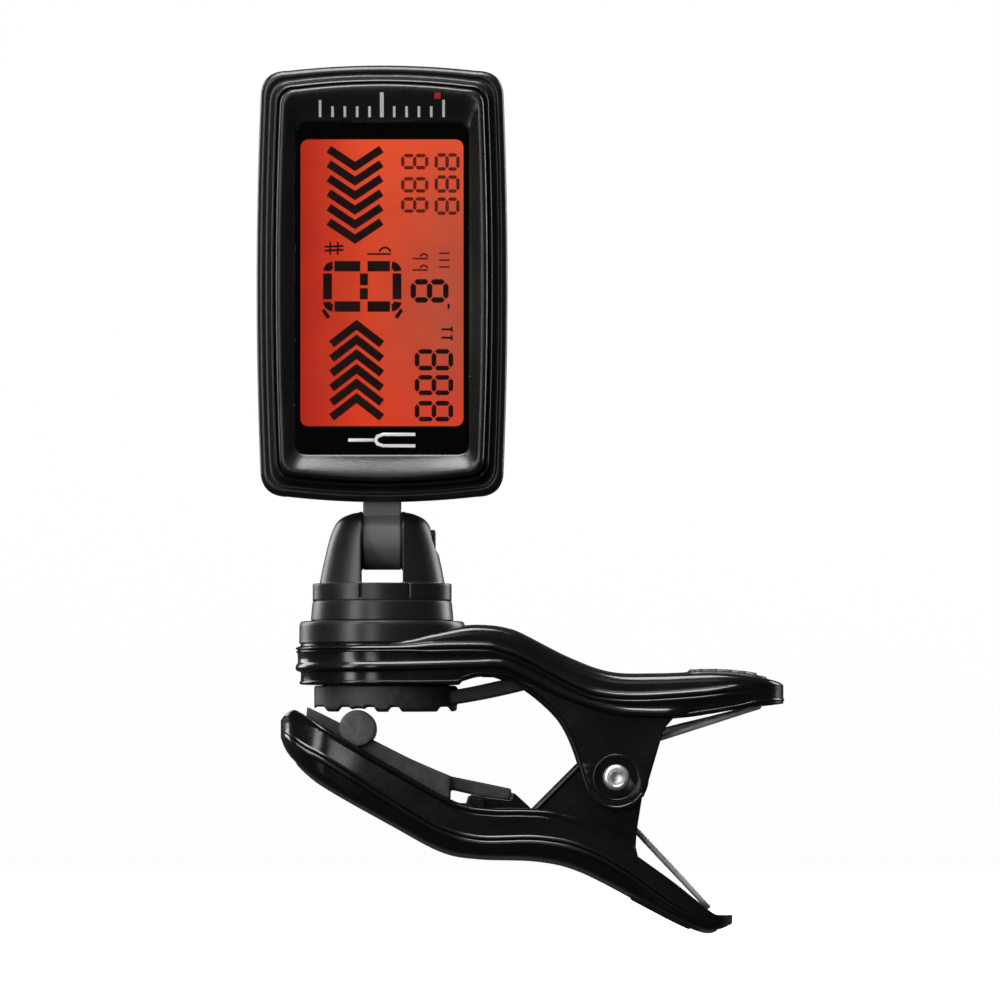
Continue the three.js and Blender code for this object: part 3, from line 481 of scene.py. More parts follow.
def circuit_mask():
    """Green solder mask over copper tracks."""
    p = Paint("circuit_mask")
    tracks = p.ranged(p.cell_edges(1.6), 1, 0, 0.05, 0.07)
    colour = p.mix(tracks, (0.008, 0.09, 0.03, 1), (0.02, 0.2, 0.06, 1))
    relief = p.bump(tracks, 0.03)
    return p.surface(Base_Color=colour, Roughness=p.ranged(p.noise(2), 0.25, 0.4), Normal=relief)


BLACK = moulded("black_abs", 0.0045, 0.19, grain=0.5, grain_depth=0.0012, worn=0.1)
HEAD_BLACK = moulded("head_abs", 0.007, 0.32, grain=0.36, grain_depth=0.02, worn=0.1)
TURRET_BLACK = moulded("turret_abs", 0.011, 0.33, grain=0.2, grain_depth=0.007, worn=0.12)
# The knuckle's black plastic with its base colour raised far above the other blacks: painted light, so
# the knuckle stands lighter grey as if lit from the front.
TONGUE_PAINTED_LIGHT = moulded("tongue_abs_painted_light", 0.14, 0.42, grain=0.2, grain_depth=0.008)
TRIM = moulded("trim_abs", 0.012, 0.3, worn=0.2)
INNER = moulded("inner_abs", 0.03, 0.5, grain=0.3)
CHIP = moulded("chip_epoxy", 0.012, 0.45, grain=0.1, grain_depth=0.006)
PAD = rubber("pad_rubber", 0.036, 0.5)
ROLL_RUBBER = rubber("roll_rubber", 0.075, 0.6)
GRIP_RUBBER = rubber("grip_rubber", 0.012, 0.34)
STEEL = metal("plated_steel", (0.82, 0.81, 0.79, 1), 0.32, pits=0.002, metallic=0.8)
SCREW_STEEL = metal("blackened_steel", (0.16, 0.155, 0.15, 1), 0.35, pits=0.02)
WIRE = metal("spring_wire", (0.9, 0.89, 0.87, 1), 0.34, metallic=0.3)
BRASS = metal("spring_brass", (0.62, 0.44, 0.17, 1), 0.3)
LENS_CLEAR = clear_lens()
LCD_GLOW = backlit_lcd()
DIFFUSER = moulded("diffuser", 0.6, 0.5, tint=(1, 0.25, 0.1))
MASK = circuit_mask()
INK_WHITE = printed("ink_white", (0.85, 0.85, 0.85, 1))
INK_RED = printed("ink_red", (0.62, 0.02, 0.03, 1))
CRYSTAL = crystal("liquid_crystal", (0.006, 0.004, 0.004, 1), (0.004, 0.0006, 0.0004, 1),
    (0.010, 0.0012, 0.0008, 1))
FAINT = crystal("faint_crystal", (0.02, 0.006, 0.005, 1), (0.07, 0.008, 0.005, 1),
    (0.11, 0.012, 0.008, 1))


def place(obj, body, material, slot, *nodes):
    """Gives a finished piece its material and its body, and the CAD nodes it stands for."""
    obj.data.materials.clear()
    obj.data.materials.append(material)
    flats = obj.modifiers.new("flat_faces", "WEIGHTED_NORMAL")
    flats.keep_sharp = True
    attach(obj, body)
    if nodes:
        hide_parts(*nodes)
    return obj


# ---------------------------------------------------------------- the jaws' shells


def lifted(line, lift, scale=lambda x: 1.0):
    """The line, raised by so much of a scale that may vary along x."""
    return lambda x: line(x) + lift * scale(x)


def bead(levels, wall, fade, line, scale=lambda x: 1.0):
    """Profile entries of a bead along a line. A level is (inset, lift), and the inset fades into the
    wall's."""
    flat = lambda x: wall
    return [(lifted(flat, inset - wall, fade), lifted(line, lift, scale)) for inset, lift in levels]


def jaw_shell(name, plan, profile, crown):
    """A jaw as one skin. At each station round half the jaw's plan a loop of points runs down one
    side, under the jaw and up the other. A profile entry is (inset from the plan, height at x)."""
    stations, across = 190, 9
    line = evenly(plan, stations)
    along = np.gradient(line, axis=0)
    out = unit(np.column_stack([-along[:, 1], along[:, 0]]))
    x, y = line.T
    side = []
    for inset, z in profile:
        d = inset(x) if callable(inset) else np.full_like(x, inset)
        at = x - d * out[:, 0]
        wide = np.maximum(y - d * out[:, 1], 0)
        side.append(np.column_stack([at, wide, z(at)]))
    side = np.stack(side, axis=1)
    mirrored = side[:, ::-1] * (1, -1, 1)
    t = (np.arange(1, across + 1) / (across + 1))[None, :, None]
    under = side[:, -1:] * (1 - t) + mirrored[:, :1] * t
    over = mirrored[:, -1:] * (1 - t) + side[:, :1] * t
    over[..., 2] += crown * (1 - (2 * t[..., 0] - 1) ** 2) * np.minimum(side[:, :1, 1] / 6, 1)
    return skin(name, np.concatenate([side, under, mirrored, over], axis=1), sharp=40)


def half_plan(points, nose=None):
    """Half a jaw's outline from above, from the middle of its front to the middle of its tail."""
    steps = 14
    tail = [[points[-2][0], -points[-2][1]]]
    lead = [[points[1][0], -points[1][1]]] if nose is None else []
    line = spline(lead + points + tail, steps)
    line = line[steps * len(lead):len(line) - steps]
    line[-1, 1] = 0
    if nose is None:
        line[0, 1] = 0
        return line
    return np.vstack([nose, line[1:]])


UPPER_TOP = height([[-14, 9.2], [1.5, 9.2], [6.5, 10.1], [11, 11], [14.3, 11], [16.6, 10.6], [18.5, 9.9],
    [24.6, 6.8], [30, 4.9], [36, 4.7], [44, 4.9], [50, 4.3], [52.4, 3.8], [53.6, 3.4]])
UPPER_RAIL = height([[-14, 8.15], [0, 8.15], [12.6, 8.3], [15.9, 7.8], [19, 6.6], [25.7, 3.1],
    [29, 2.05], [33.4, 1.75], [40, 2.1], [46, 2.7], [50, 3.1], [53.6, 3.1]])
LOWER_RAIL = height([[-14, 5.65], [0, 5.65], [11.5, 5.9], [14.8, 6], [17.2, 5.5], [23.6, 2.2],
    [30, 0.05], [34.5, -0.4], [39.5, -0.3], [43.5, 0.25], [47.5, 0.9], [53.6, 1.6]])
SKIRT = height([[-14, 3.5], [8, 3.5], [10, 3.9], [12.5, 4.6], [14.6, 4.6], [18, 4.1], [23.6, 1.6],
    [30, -0.6], [34.5, -1], [38.5, -0.9], [42, -0.4], [46.5, 0.3], [49.7, 1], [53.6, 1.3]])
UPPER_PLAN = [[0, 11.4], [8, 11.1], [16, 10.2], [24, 9.4], [32, 9.2], [40, 9.2], [46, 8.9], [50.4, 7.4],
    [52.7, 4.4], [53.4, 0]]
PLATFORM_RADIUS = 11.4
CAVITY_TOP = 8.0
CAVITY_REAR = 12.4
UPPER_WALL = 0.62  # inset of the side between its beads
UPPER_SHOULDER = [(2.6, 0), (1.9, -0.03), (1.4, -0.12), (1.05, -0.35), (0.82, -0.7),
    (0.68, -1.2), (0.62, -1.7)]
UPPER_BEAD = [(0.4, 0.6), (0.2, 0.48), (0.07, 0.32), (0.0, 0.12), (0.06, -0.04), (0.26, -0.14),
    (0.3, -0.24), (0.2, -0.34), (0.09, -0.46), (0.06, -0.6), (0.12, -0.76), (0.24, -0.9)]
LOWER_BEAD = [(0.3, 0.74), (0.24, 0.62), (0.13, 0.5), (0.04, 0.34), (0.0, 0.14), (0.0, -0.06),
    (0.08, -0.24), (0.26, -0.38), (0.5, -0.45)]
SKIRT_LIP = [(0.68, 0.5), (0.56, 0.42), (0.5, 0.28), (0.54, 0.12), (0.68, 0.02), (0.95, 0),
    (1.9, 0), (2.3, 0.3)]


def upper_shell():
    """The upper jaw's skin: a rounded shoulder, a double bead, a low bead and the lip of the skirt."""
    top, skirt = UPPER_TOP, SKIRT
    lean = lambda x: np.clip((top(x) - UPPER_RAIL(x)) / 3, 0.1, 1)
    room = lambda x: np.clip((top(x) - 1.75 * lean(x) - UPPER_RAIL(x)) / 0.75, 0.2, 1)
    fade = lambda x: smoothstep((50 - x) / 7)
    low_fade = lambda x: smoothstep((41 - x) / 4)
    ceiling = lambda x: np.maximum(np.where(x < CAVITY_REAR, CAVITY_TOP,
        np.minimum(top(x) - 1.9, CAVITY_TOP)), skirt(x) + 0.5)
    profile = [(inset, lifted(top, lift, lean)) for inset, lift in UPPER_SHOULDER]
    profile += [(UPPER_WALL, lambda x: np.minimum(UPPER_RAIL(x) + 0.85 * room(x),
        top(x) - 1.75 * lean(x))), (0.56, lifted(UPPER_RAIL, 0.66, room))]
    profile += bead(UPPER_BEAD, UPPER_WALL, fade, UPPER_RAIL, room)
    profile += bead([(0.3, 0)], UPPER_WALL, fade, lambda x: (UPPER_RAIL(x) + LOWER_RAIL(x)) / 2)
    profile += bead(LOWER_BEAD, UPPER_WALL, low_fade, LOWER_RAIL)
    profile += [(0.66, lifted(LOWER_RAIL, -0.5)), (0.7, lambda x: np.maximum(LOWER_RAIL(x) - 0.75,
        skirt(x) + 0.62))]
    profile += [(inset, lifted(skirt, lift)) for inset, lift in SKIRT_LIP]
    profile += [(2.5, lambda x: np.minimum(skirt(x) + 1.2, ceiling(x) - 0.1)), (2.6, ceiling),
        (3.2, lifted(ceiling, 0.1))]
    nose = arc(0, 0, PLATFORM_RADIUS, 180, 90, 40)
    return jaw_shell("upper_jaw_shell", half_plan(UPPER_PLAN, nose), profile, 0.3)


def platform():
    """The round table under the turret, standing on the front of the jaw."""
    profile = [(4.2, 11.94), (8.86, 11.94), (8.92, 11.84), (9.9, 11.85), (10.45, 11.82), (10.72, 11.7),
        (10.86, 11.45), (10.9, 11.1), (10.92, 9.3), (10.95, 9.05), (10.6, 8.6), (4.2, 8.6)]
    return lathe("platform", profile, (0, 0, 0), count=160, closed=True)


UPPER_LUG = (7.15, 8.55)  # |Y| of each hinge lug
THROAT = [[14.6, 4.6], [17.2, 3.7], [19.2, 2.5], [21.4, 0.7], [23.1, -1.1], [24.2, -2.9], [25.1, -5],
    [25.8, -7.1], [26.4, -9.2]]
UPPER_LUG_REAR = [[34.3, -11.3], [36.6, -3.55], [37.2, -2.1], [38.7, -0.4], [38.7, 1.6], [30, 1.6],
    [23.6, 3.4], [17, 6]]
LUG_RADIUS = 4.2
RECESS_RADIUS = 2.85
AXLE_HOLE = 1.32


def circle(x, z, radius):
    return arc(x, z, radius, 0, 360, 48)[:-1]


def upper_lug(sign):
    """A hinge lug: a plate with a dished seat round the rivet, and a bead along throat and end."""
    throat = spline(THROAT)
    end = arc(PIVOT_X, PIVOT_Z, LUG_RADIUS, 200, 325, 30)
    outline = np.vstack([throat, end, UPPER_LUG_REAR])
    near, far = UPPER_LUG
    seat = far - 0.5
    hole = circle(PIVOT_X, PIVOT_Z, AXLE_HOLE)[::-1]
    recess = circle(PIVOT_X, PIVOT_Z, RECESS_RADIUS)[::-1]
    ring = arc(PIVOT_X, PIVOT_Z, RECESS_RADIUS + 0.1, 0, 360, 60)
    spans = {"core": (near, seat, hole, 0.1), "face": (seat - 0.05, far, recess, 0.22)}
    layers = []
    for part, (low, high, gap, bevel) in spans.items():
        low, high = (low, high) if sign > 0 else (-high, -low)
        layers.append(plate(f"lug_{part}", outline, low, high, bevel, [gap]))
    bead = evenly(np.vstack([[[13.2, 4.62]], throat, end]), 150)
    inside = shifted(bead, 0.24)
    path = np.column_stack([inside[:, 0], np.full(len(inside), sign * (far - 0.05)), inside[:, 1]])
    layers.append(tube("lug_bead", path, 0.29, 14))
    rim = np.column_stack([ring[:, 0], np.full(len(ring), sign * (far - 0.12)), ring[:, 1]])
    layers.append(tube("seat_rim", rim, 0.16, 10))
    return layers


def upper_jaw():
    body = joined("upper_jaw_body", [upper_shell(), *upper_lug(1), *upper_lug(-1)], 40)
    place(body, "upper_jaw", BLACK, "abs_black", "upper_jaw")
    place(platform(), "upper_jaw", TURRET_BLACK, "abs_black")


LOWER_CROWN = height([[-14.4, -2.2], [-14, -3.2], [-13.2, -4.8], [-8.5, -9], [1.6, -14.8], [7.9, -18.1],
    [12.9, -19], [20.4, -19.3], [26.1, -20.7], [34.2, -24.9], [39, -27.4], [42.5, -28.75], [45.2,
    -28.4], [46.4, -27.7]])
RIM_FRONT = height([[-14.4, -2.8], [-13.6, -1.5], [-12.6, -0.4], [-11.6, 0.12], [-10.7, -0.15],
    [-9.5, -0.9], [1.6, -7.4], [9.1, -11.6], [11.2, -12.1], [13.5, -12.65], [19.2, -12.75], [23.4,
    -13.3], [28.8, -15.2], [33.2, -17.5]])
RIM_HANDLE = height([[33.2, -18.8], [38.9, -22.9], [43.3, -26.4], [44.9, -26.8], [46.2, -26.7]])
MAIN_RAIL = height([[-14.4, -2.5], [-12.4, -3.5], [-10.3, -5.0], [-6, -7.4], [4.1, -13.8], [8.5, -16.1],
    [12.9, -17.2], [20.4, -17.2], [26.1, -18.3], [31.5, -21], [39.5, -26.4], [46.2, -27.9]])
RIM_RAIL = height([[-14.4, -2.4], [-12, -0.9], [-8.5, -1.9], [1.6, -7.8], [9.6, -12.2], [14.2, -13.15],
    [19.2, -13.25], [23.4, -13.8], [33.2, -18.4], [38.9, -23.1], [46.2, -27.2]])
LOWER_PLAN = [[-14, 0], [-13.5, 3.6], [-12, 6.4], [-9, 8.7], [-5, 9.5], [2, 9.6], [12, 9.4], [24, 9.2],
    [34, 9.1], [39, 8.8], [43.6, 7.3], [46, 4.6], [46.7, 0]]
RIM_STEP = 33.25
LOWER_FLOOR = 1.7
SCOOP_HALF = 7.9  # |Y| of the scoop's side walls
LOWER_WALL = 0.66  # inset of the side between its beads
CROWN_SHOULDER = [(2.6, 0), (1.9, 0.05), (1.4, 0.22), (1.05, 0.5), (0.86, 0.85)]
MAIN_BEAD = [(0.6, -0.6), (0.36, -0.5), (0.12, -0.34), (0.0, -0.12), (0.05, 0.08), (0.16, 0.22),
    (0.34, 0.32), (0.22, 0.44), (0.18, 0.58), (0.24, 0.74), (0.36, 0.88)]
SMALL_BEAD = [(0.26, -0.62), (0.36, -0.5), (0.4, -0.4), (0.28, -0.3), (0.16, -0.14), (0.14, 0.04),
    (0.24, 0.2), (0.42, 0.3)]


def lower_shell():
    """The lower jaw's skin, drawn upwards: its rounded underside, a main and a small bead, and the rim
    of the scoop."""
    crown = LOWER_CROWN
    rim = lambda x: np.where(x < RIM_STEP, RIM_FRONT(x), RIM_HANDLE(x))
    tall = lambda x: np.maximum(rim(x) - crown(x), 0.2)
    scale = lambda x: np.clip(tall(x) / 4, 0.08, 1)
    main = lambda x: np.clip(MAIN_RAIL(x), crown(x) + 0.28 * tall(x), rim(x) - 0.3 * tall(x))
    small = lambda x: np.minimum(RIM_RAIL(x), rim(x) - 0.45 * scale(x))
    main_fade = lambda x: smoothstep((42.5 - x) / 5) * smoothstep((x + 13.6) / 2.5)
    small_fade = lambda x: smoothstep((27 - x) / 6) * smoothstep((x + 10.4) / 3)
    floor = lambda x: np.minimum(crown(x) + LOWER_FLOOR, rim(x) - 0.35)
    profile = [(inset, lifted(crown, lift, scale)) for inset, lift in CROWN_SHOULDER]
    profile.append((0.76, lambda x: np.minimum(crown(x) + 1.3 * scale(x), main(x) - 0.75 * scale(x))))
    profile += bead(MAIN_BEAD, LOWER_WALL, main_fade, main, scale)
    profile += bead([(0.34, 0)], LOWER_WALL, main_fade, lambda x: main(x) * 0.5 + small(x) * 0.5)
    profile += bead(SMALL_BEAD, LOWER_WALL, small_fade, small, scale)
    profile += [(0.62, lambda x: np.maximum(rim(x) - 0.14 * scale(x), small(x) + 0.34 * scale(x))),
        (0.72, lifted(rim, -0.03)), (0.95, rim), (1.7, rim), (2.0, lifted(rim, -0.3, scale)), (2.15,
        lambda x: np.maximum(rim(x) - 1.2, floor(x) + 0.2)), (2.4, floor), (3.0, floor)]
    return jaw_shell("lower_jaw_shell", half_plan(LOWER_PLAN), profile, -0.5)


LOWER_LUG = (5.5, 6.9)
LUG_FRONT = [[19.6, -13.1], [25.6, -7.1]]
LOWER_LUG_REAR = [[33.4, -15.7], [33.2, -18.8], [33.6, -23.0], [20, -18.4]]


def lower_lug(sign):
    """A lug that carries the hinge, with a doubled bead along its slanting front edge."""
    outline = np.vstack([LUG_FRONT, arc(PIVOT_X, PIVOT_Z, 4.3, 140, -38, 30), LOWER_LUG_REAR])
    hole = circle(PIVOT_X, PIVOT_Z, AXLE_HOLE)[::-1]
    near, far = sorted(sign * y for y in LOWER_LUG)
    layers = [plate("lower_lug", outline, near, far, 0.15, [hole])]
    (x0, z0), (x1, z1) = LUG_FRONT
    for depth, offset, radius in ((LOWER_LUG[1] - 0.1, 0.32, 0.36), (LOWER_LUG[0] + 0.1, 0.2, 0.42)):
        lean = offset * 0.707
        ends = [[x0 - 1 + lean, sign * depth, z0 - 1 - lean], [x1 + lean, sign * depth, z1 - lean]]
        layers.append(tube("lug_front_bead", evenly(np.array(ends), 14), radius, 14))
    hub = [(AXLE_HOLE, 0), (2.2, 0), (2.2, 1.1), (2.05, 1.25), (AXLE_HOLE, 1.25)]
    layers.append(lathe("hub", [(r, sign * (LOWER_LUG[0] - y + 0.05)) for r, y in hub],
        (PIVOT_X, 0, PIVOT_Z), "Y", 40, closed=True))
    return layers


def lower_web(x):
    """A stiffening web across the scoop, following its floor."""
    top = float(RIM_FRONT(x)) - 1.7
    bottom = float(LOWER_CROWN(x)) + 0.6
    half, side = SCOOP_HALF, SCOOP_HALF - 0.7
    outline = [[-half, bottom], [half, bottom], [half, top], [side, top - 0.2], [0, top - 0.9],
        [-side, top - 0.2], [-half, top]]
    web = plate("web", outline, -0.6, 0.6, 0.15)
    web.data.transform(Matrix.Translation((x * MM, 0, 0)) @ Matrix.Rotation(math.pi / 2, 4, "Z"))
    return web


PEG = (12.9, -12.2, 0.7)  # x, z and radius
WEBS = (-5.4, 5.6)
REST = [[11.0, -12.2], [11.3, -11.2], [12, -10.85], [13.2, -11.2], [16.7, -11.65], [16.95, -11.4],
    [17, -10.7], [17.5, -10.85], [19.2, -12.4], [19.9, -13.2], [19.9, -17.6], [11.3, -17.6]]


def lower_jaw():
    x, z, radius = PEG
    peg = lathe("peg", chamfered(radius, SCOOP_HALF, 0.15), (x, 0, z), "Y", 32)
    rest = plate("rest", np.array(REST), -5.2, 5.2, 0.2)
    parts = [lower_shell(), *lower_lug(1), *lower_lug(-1), *map(lower_web, WEBS), peg, rest]
    body = joined("lower_jaw_body", parts, 40)
    place(body, "lower_jaw", BLACK, "abs_black", "lower_jaw")


# ---------------------------------------------------------------- clip pieces

GRIP = {"half": 6.0, "corner": 2.4, "sink": 0.5, "rise": 0.28, "margin": 1.8, "ridge": 0.34,
    "ridges": 5, "bow": 8.5}


def thumb_grip(name, line, x0, x1, outward):
    """A soft insert on a handle: a rounded slab with bowed ridges, following the line."""
    rows, columns = 116, 100
    xs = np.linspace(x0, x1, rows)
    ys = np.linspace(-GRIP["half"], GRIP["half"], columns)
    x, y = np.meshgrid(xs, ys, indexing="ij")
    edge = np.minimum(np.minimum(x - x0, x1 - x), GRIP["half"] - np.abs(y))
    over_x = np.maximum(np.abs(x - (x0 + x1) / 2) - ((x1 - x0) / 2 - GRIP["corner"]), 0)
    over_y = np.maximum(np.abs(y) - (GRIP["half"] - GRIP["corner"]), 0)
    edge = np.minimum(edge, GRIP["corner"] - np.hypot(over_x, over_y))
    rise = GRIP["rise"] * smoothstep(edge / 0.35)
    pitch = (x1 - x0 - 2 * GRIP["margin"]) / (GRIP["ridges"] - 1)
    bowed = x - (np.sqrt(GRIP["bow"] ** 2 - y ** 2) - GRIP["bow"]) - (x0 + GRIP["margin"])
    off = np.abs(bowed - pitch * np.round(np.clip(bowed / pitch, 0, GRIP["ridges"] - 1)))
    ridge = smoothstep((0.62 - off) / 0.3) * smoothstep((edge - 0.7) / 0.5)
    height_up = rise + GRIP["ridge"] * ridge - 0.75 * smoothstep(-edge / 0.12)
    line_z = line(x)
    slope = np.gradient(line(xs), xs)[:, None]
    tilt = np.sqrt(1 + slope ** 2)
    nx, nz = -slope / tilt * outward, outward / tilt
    upper = np.stack([x + height_up * nx, y, line_z + height_up * nz], axis=-1)
    lower = np.stack([x - GRIP["sink"] * nx, y, line_z - GRIP["sink"] * nz], axis=-1)
    return grid_solid(name, upper, lower, edge >= -0.02)


def grid_solid(name, upper, lower, inside):
    """A closed slab between two grids of points, over the cells whose corners are all inside."""
    rows, columns = inside.shape
    cells = inside[:-1, :-1] & inside[1:, :-1] & inside[1:, 1:] & inside[:-1, 1:]
    count = rows * columns
    ids = np.arange(count).reshape(rows, columns)
    faces = []
    for i, j in np.argwhere(cells):
        quad = [ids[i, j], ids[i + 1, j], ids[i + 1, j + 1], ids[i, j + 1]]
        faces.append([int(q) for q in quad])
        faces.append([int(q) + count for q in quad[::-1]])
        for di, dj, a, b in ((-1, 0, 3, 0), (1, 0, 1, 2), (0, -1, 0, 1), (0, 1, 2, 3)):
            ni, nj = i + di, j + dj
            outside = ni < 0 or nj < 0 or ni >= rows - 1 or nj >= columns - 1 or not cells[ni, nj]
            if outside:
                faces.append([int(quad[b]), int(quad[a]), int(quad[a]) + count, int(quad[b]) + count])
    obj = solid(name, np.concatenate([upper.reshape(-1, 3), lower.reshape(-1, 3)]), faces, 50)
    bm = bmesh.new()
    bm.from_mesh(obj.data)
    bmesh.ops.delete(bm, geom=[v for v in bm.verts if not v.link_faces], context="VERTS")
    bm.to_mesh(obj.data)
    bm.free()
    return obj


GRIP_PLACES = (("upper", UPPER_TOP, 39.3, 50.6, 1), ("lower", LOWER_CROWN, 31.9, 42, -1))


def thumb_grips():
    for jaw, line, x0, x1, outward in GRIP_PLACES:
        insert = thumb_grip(f"{jaw}_grip_insert", line, x0, x1, outward)
        place(insert, f"{jaw}_jaw", GRIP_RUBBER, "grip_rubber", f"{jaw}_thumb_grip")


def pivot_rivet():
    """A tubular rivet: rolled heads with a hollow middle."""
    head = [(0, 7.85), (0.45, 7.85), (0.72, 7.95), (0.86, 8.3), (1.0, 8.62), (1.18, 8.74), (1.42, 8.7),
        (1.62, 8.55), (1.73, 8.3), (1.72, 8.12), (1.6, 8.06), (1.2, 8.05)]
    profile = head + [(r, -y) for r, y in head[::-1]]
    rivet = lathe("rolled_rivet", profile, (PIVOT_X, 0, PIVOT_Z), "Y", 64)
    place(rivet, "upper_jaw", STEEL, "plated_steel", "pivot_rivet")


SPRING = {
    "wire": 0.4, "coil": 3.0, "pitch": 0.9, "turns": 3, "inner": 1.6, "leaves": 107, "arrives": 227,
    "leg": [[49.4, 0.6], [47.5, 0], [43, -1.45], [38.5, -2.9], [34, -4.35]],
    "bridge": [[32.2, -14.4], [35.5, -17.9], [38.8, -21.4]],
    "crook": [[41.5, 0.1, -24.3], [42.4, 0.5, -25.25]],
    "end": [42.8, -25.6], "splay": [0, 0.1, 0.4, 0.75, 0.95],
}


def torsion_spring():
    """One wire: a free leg, a coil, a bridge, and the same mirrored."""
    s = SPRING
    sweep = 360 * s["turns"] + s["arrives"] - s["leaves"]
    outer = s["inner"] + s["pitch"] * sweep / 360
    share = np.linspace(0, 1, round(sweep / 18) + 1)
    turn = np.radians(s["leaves"] + sweep * share)
    winding = np.column_stack([PIVOT_X + s["coil"] * np.cos(turn), -outer + (outer - s["inner"]) * share,
        PIVOT_Z + s["coil"] * np.sin(turn)])
    half = np.vstack([[[x, -outer, z] for x, z in s["leg"]], winding,
        [[x, -s["inner"], z] for x, z in s["bridge"]], [[x, inwards - s["inner"], z] for x, inwards,
        z in s["crook"]]])
    far = half * (1, -1, 1)
    far[:5, 2] += s["splay"]
    path = np.vstack([half, [[s["end"][0], 0, s["end"][1]]], far[::-1]])
    spring = tube("spring_wire", spline(path, 5), s["wire"], 12)
    spring.data.materials.append(WIRE)
    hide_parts("torsion_spring")
    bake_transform(spring)


ROLL_CENTRE = (-3.15, 0, -2.3)
ROLL = {"half": 8.4, "radius": 2.4, "room": 0.35}


def upper_pad():
    """The ribbed round pad and the tongue that holds it in the arm."""
    disc = lathe("disc", [(0, 0), (9.15, 0), (9.4, 0.25), (9.4, 3.2), (9.3, 3.35), (8.2, 3.35),
        (8.2, 4.6), (7.6, 4.8), (0, 4.8)], (0.45, 0, 0), count=120)
    outline = np.vstack([spline([[7, 2.8], [10.1, 2.9], [15.9, 4.1], [20.2, 5.2]]),
        spline([[20.2, 3.3], [19.2, 2.9], [14, 1.7], [9.3, 0.9], [7, 0.8]])])
    tongue = plate("tongue", outline, -4.2, 4.2, 0.2)
    pad = joined("ribbed_pad", [disc, tongue])
    pitch, half, floor, slant = 3.25, 0.95, 0.62, 0.42
    cutters = []
    for mid in (np.arange(-3, 3) + 0.5) * pitch:
        valley = [[mid - half, -1], [mid + half, -1], [mid + half - 0.05, 0.05],
            [mid + half - slant, floor], [mid - half + slant, floor], [mid - half + 0.05, 0.05]]
        cutters.append(plate("groove", np.array(valley), -12, 12, 0.01))
    cutters.append(drum("roll_seat", ROLL_CENTRE, ROLL["radius"] + ROLL["room"], -11, 11))
    carved(pad, cutters)
    melted(pad, 0.14, 3)
    place(pad, "upper_jaw", PAD, "pad_rubber", "upper_pad")


def lower_pad():
    """The lower pad: a strip in the scoop, a transverse roll at its front, a springy tongue behind."""
    strip = np.vstack([spline([[-5.1, -1.8], [-0.7, -4], [4.1, -6.4], [9, -8.5]]),
        spline([[9, -10.9], [8.6, -11.6], [5.3, -10.1], [1.6, -8], [-3.5, -5.1], [-4.9, -4.3]])])
    tongue = np.vstack([spline([[8.3, -8.3], [9.4, -8.62], [13.2, -9.4], [16.8, -10.15]]),
        [[17, -10.4], [16.95, -11.4], [16.7, -11.7]], spline([[16.2, -11.7], [13.2, -11.25],
        [9.6, -10.45], [8.3, -10.2]])])
    nose = np.array([[-9.8, 0.55], [-8.3, -0.15], [-4.6, -2], [-4.6, -4.1], [-6.2, -3.6], [-9.9, -1.1]])
    pad = joined("lower_strip", [plate("strip", strip, -7.3, 7.3, 0.25),
        plate("nose", nose, -5.4, 5.4, 0.2), plate("tongue", tongue, -4.6, 4.6, 0.25)])
    melted(pad, 0.14, 3)
    place(pad, "lower_jaw", PAD, "pad_rubber", "lower_pad")
    half, radius = ROLL["half"], ROLL["radius"]
    edge = [(0, half - 0.05), (1.6, half), (2.1, half - 0.02), (2.28, half - 0.1), (radius, half - 0.35)]
    profile = [(0, -half + 0.05)] + [(r, -y) for r, y in edge[1:]] + edge[::-1]
    roll = lathe("pad_roll", profile, ROLL_CENTRE, "Y", 72)
    place(roll, "lower_jaw", ROLL_RUBBER, "pad_rubber")


# ---------------------------------------------------------------- turret

TILT_Z = 22.4
TILT_CENTRE = (0, 0, TILT_Z)
PIN_HOLE = 1.05
RING_TOP = 14.5
FLANGE_TOP = 16.8
SLOT = 2.75
KNUCKLE = {"half": 2.5, "radius": 3.8}
DOME = [[8.25, 16.7], [7.75, 19.3], [6.85, 22.9], [5.9, 24.9], [4.4, 25.85], [2.6, 26.2], [0, 26.25]]
DEPTH = 0.82


def slab(name, x0, x1, y0, y1, z0, z1):
    """A plain block, for cutting only."""
    corners = [(x, y, z) for x in (x0, x1) for y in (y0, y1) for z in (z0, z1)]
    faces = [(0, 1, 3, 2), (4, 6, 7, 5), (0, 4, 5, 1), (2, 3, 7, 6), (0, 2, 6, 4), (1, 5, 7, 3)]
    return solid(name, corners, faces)


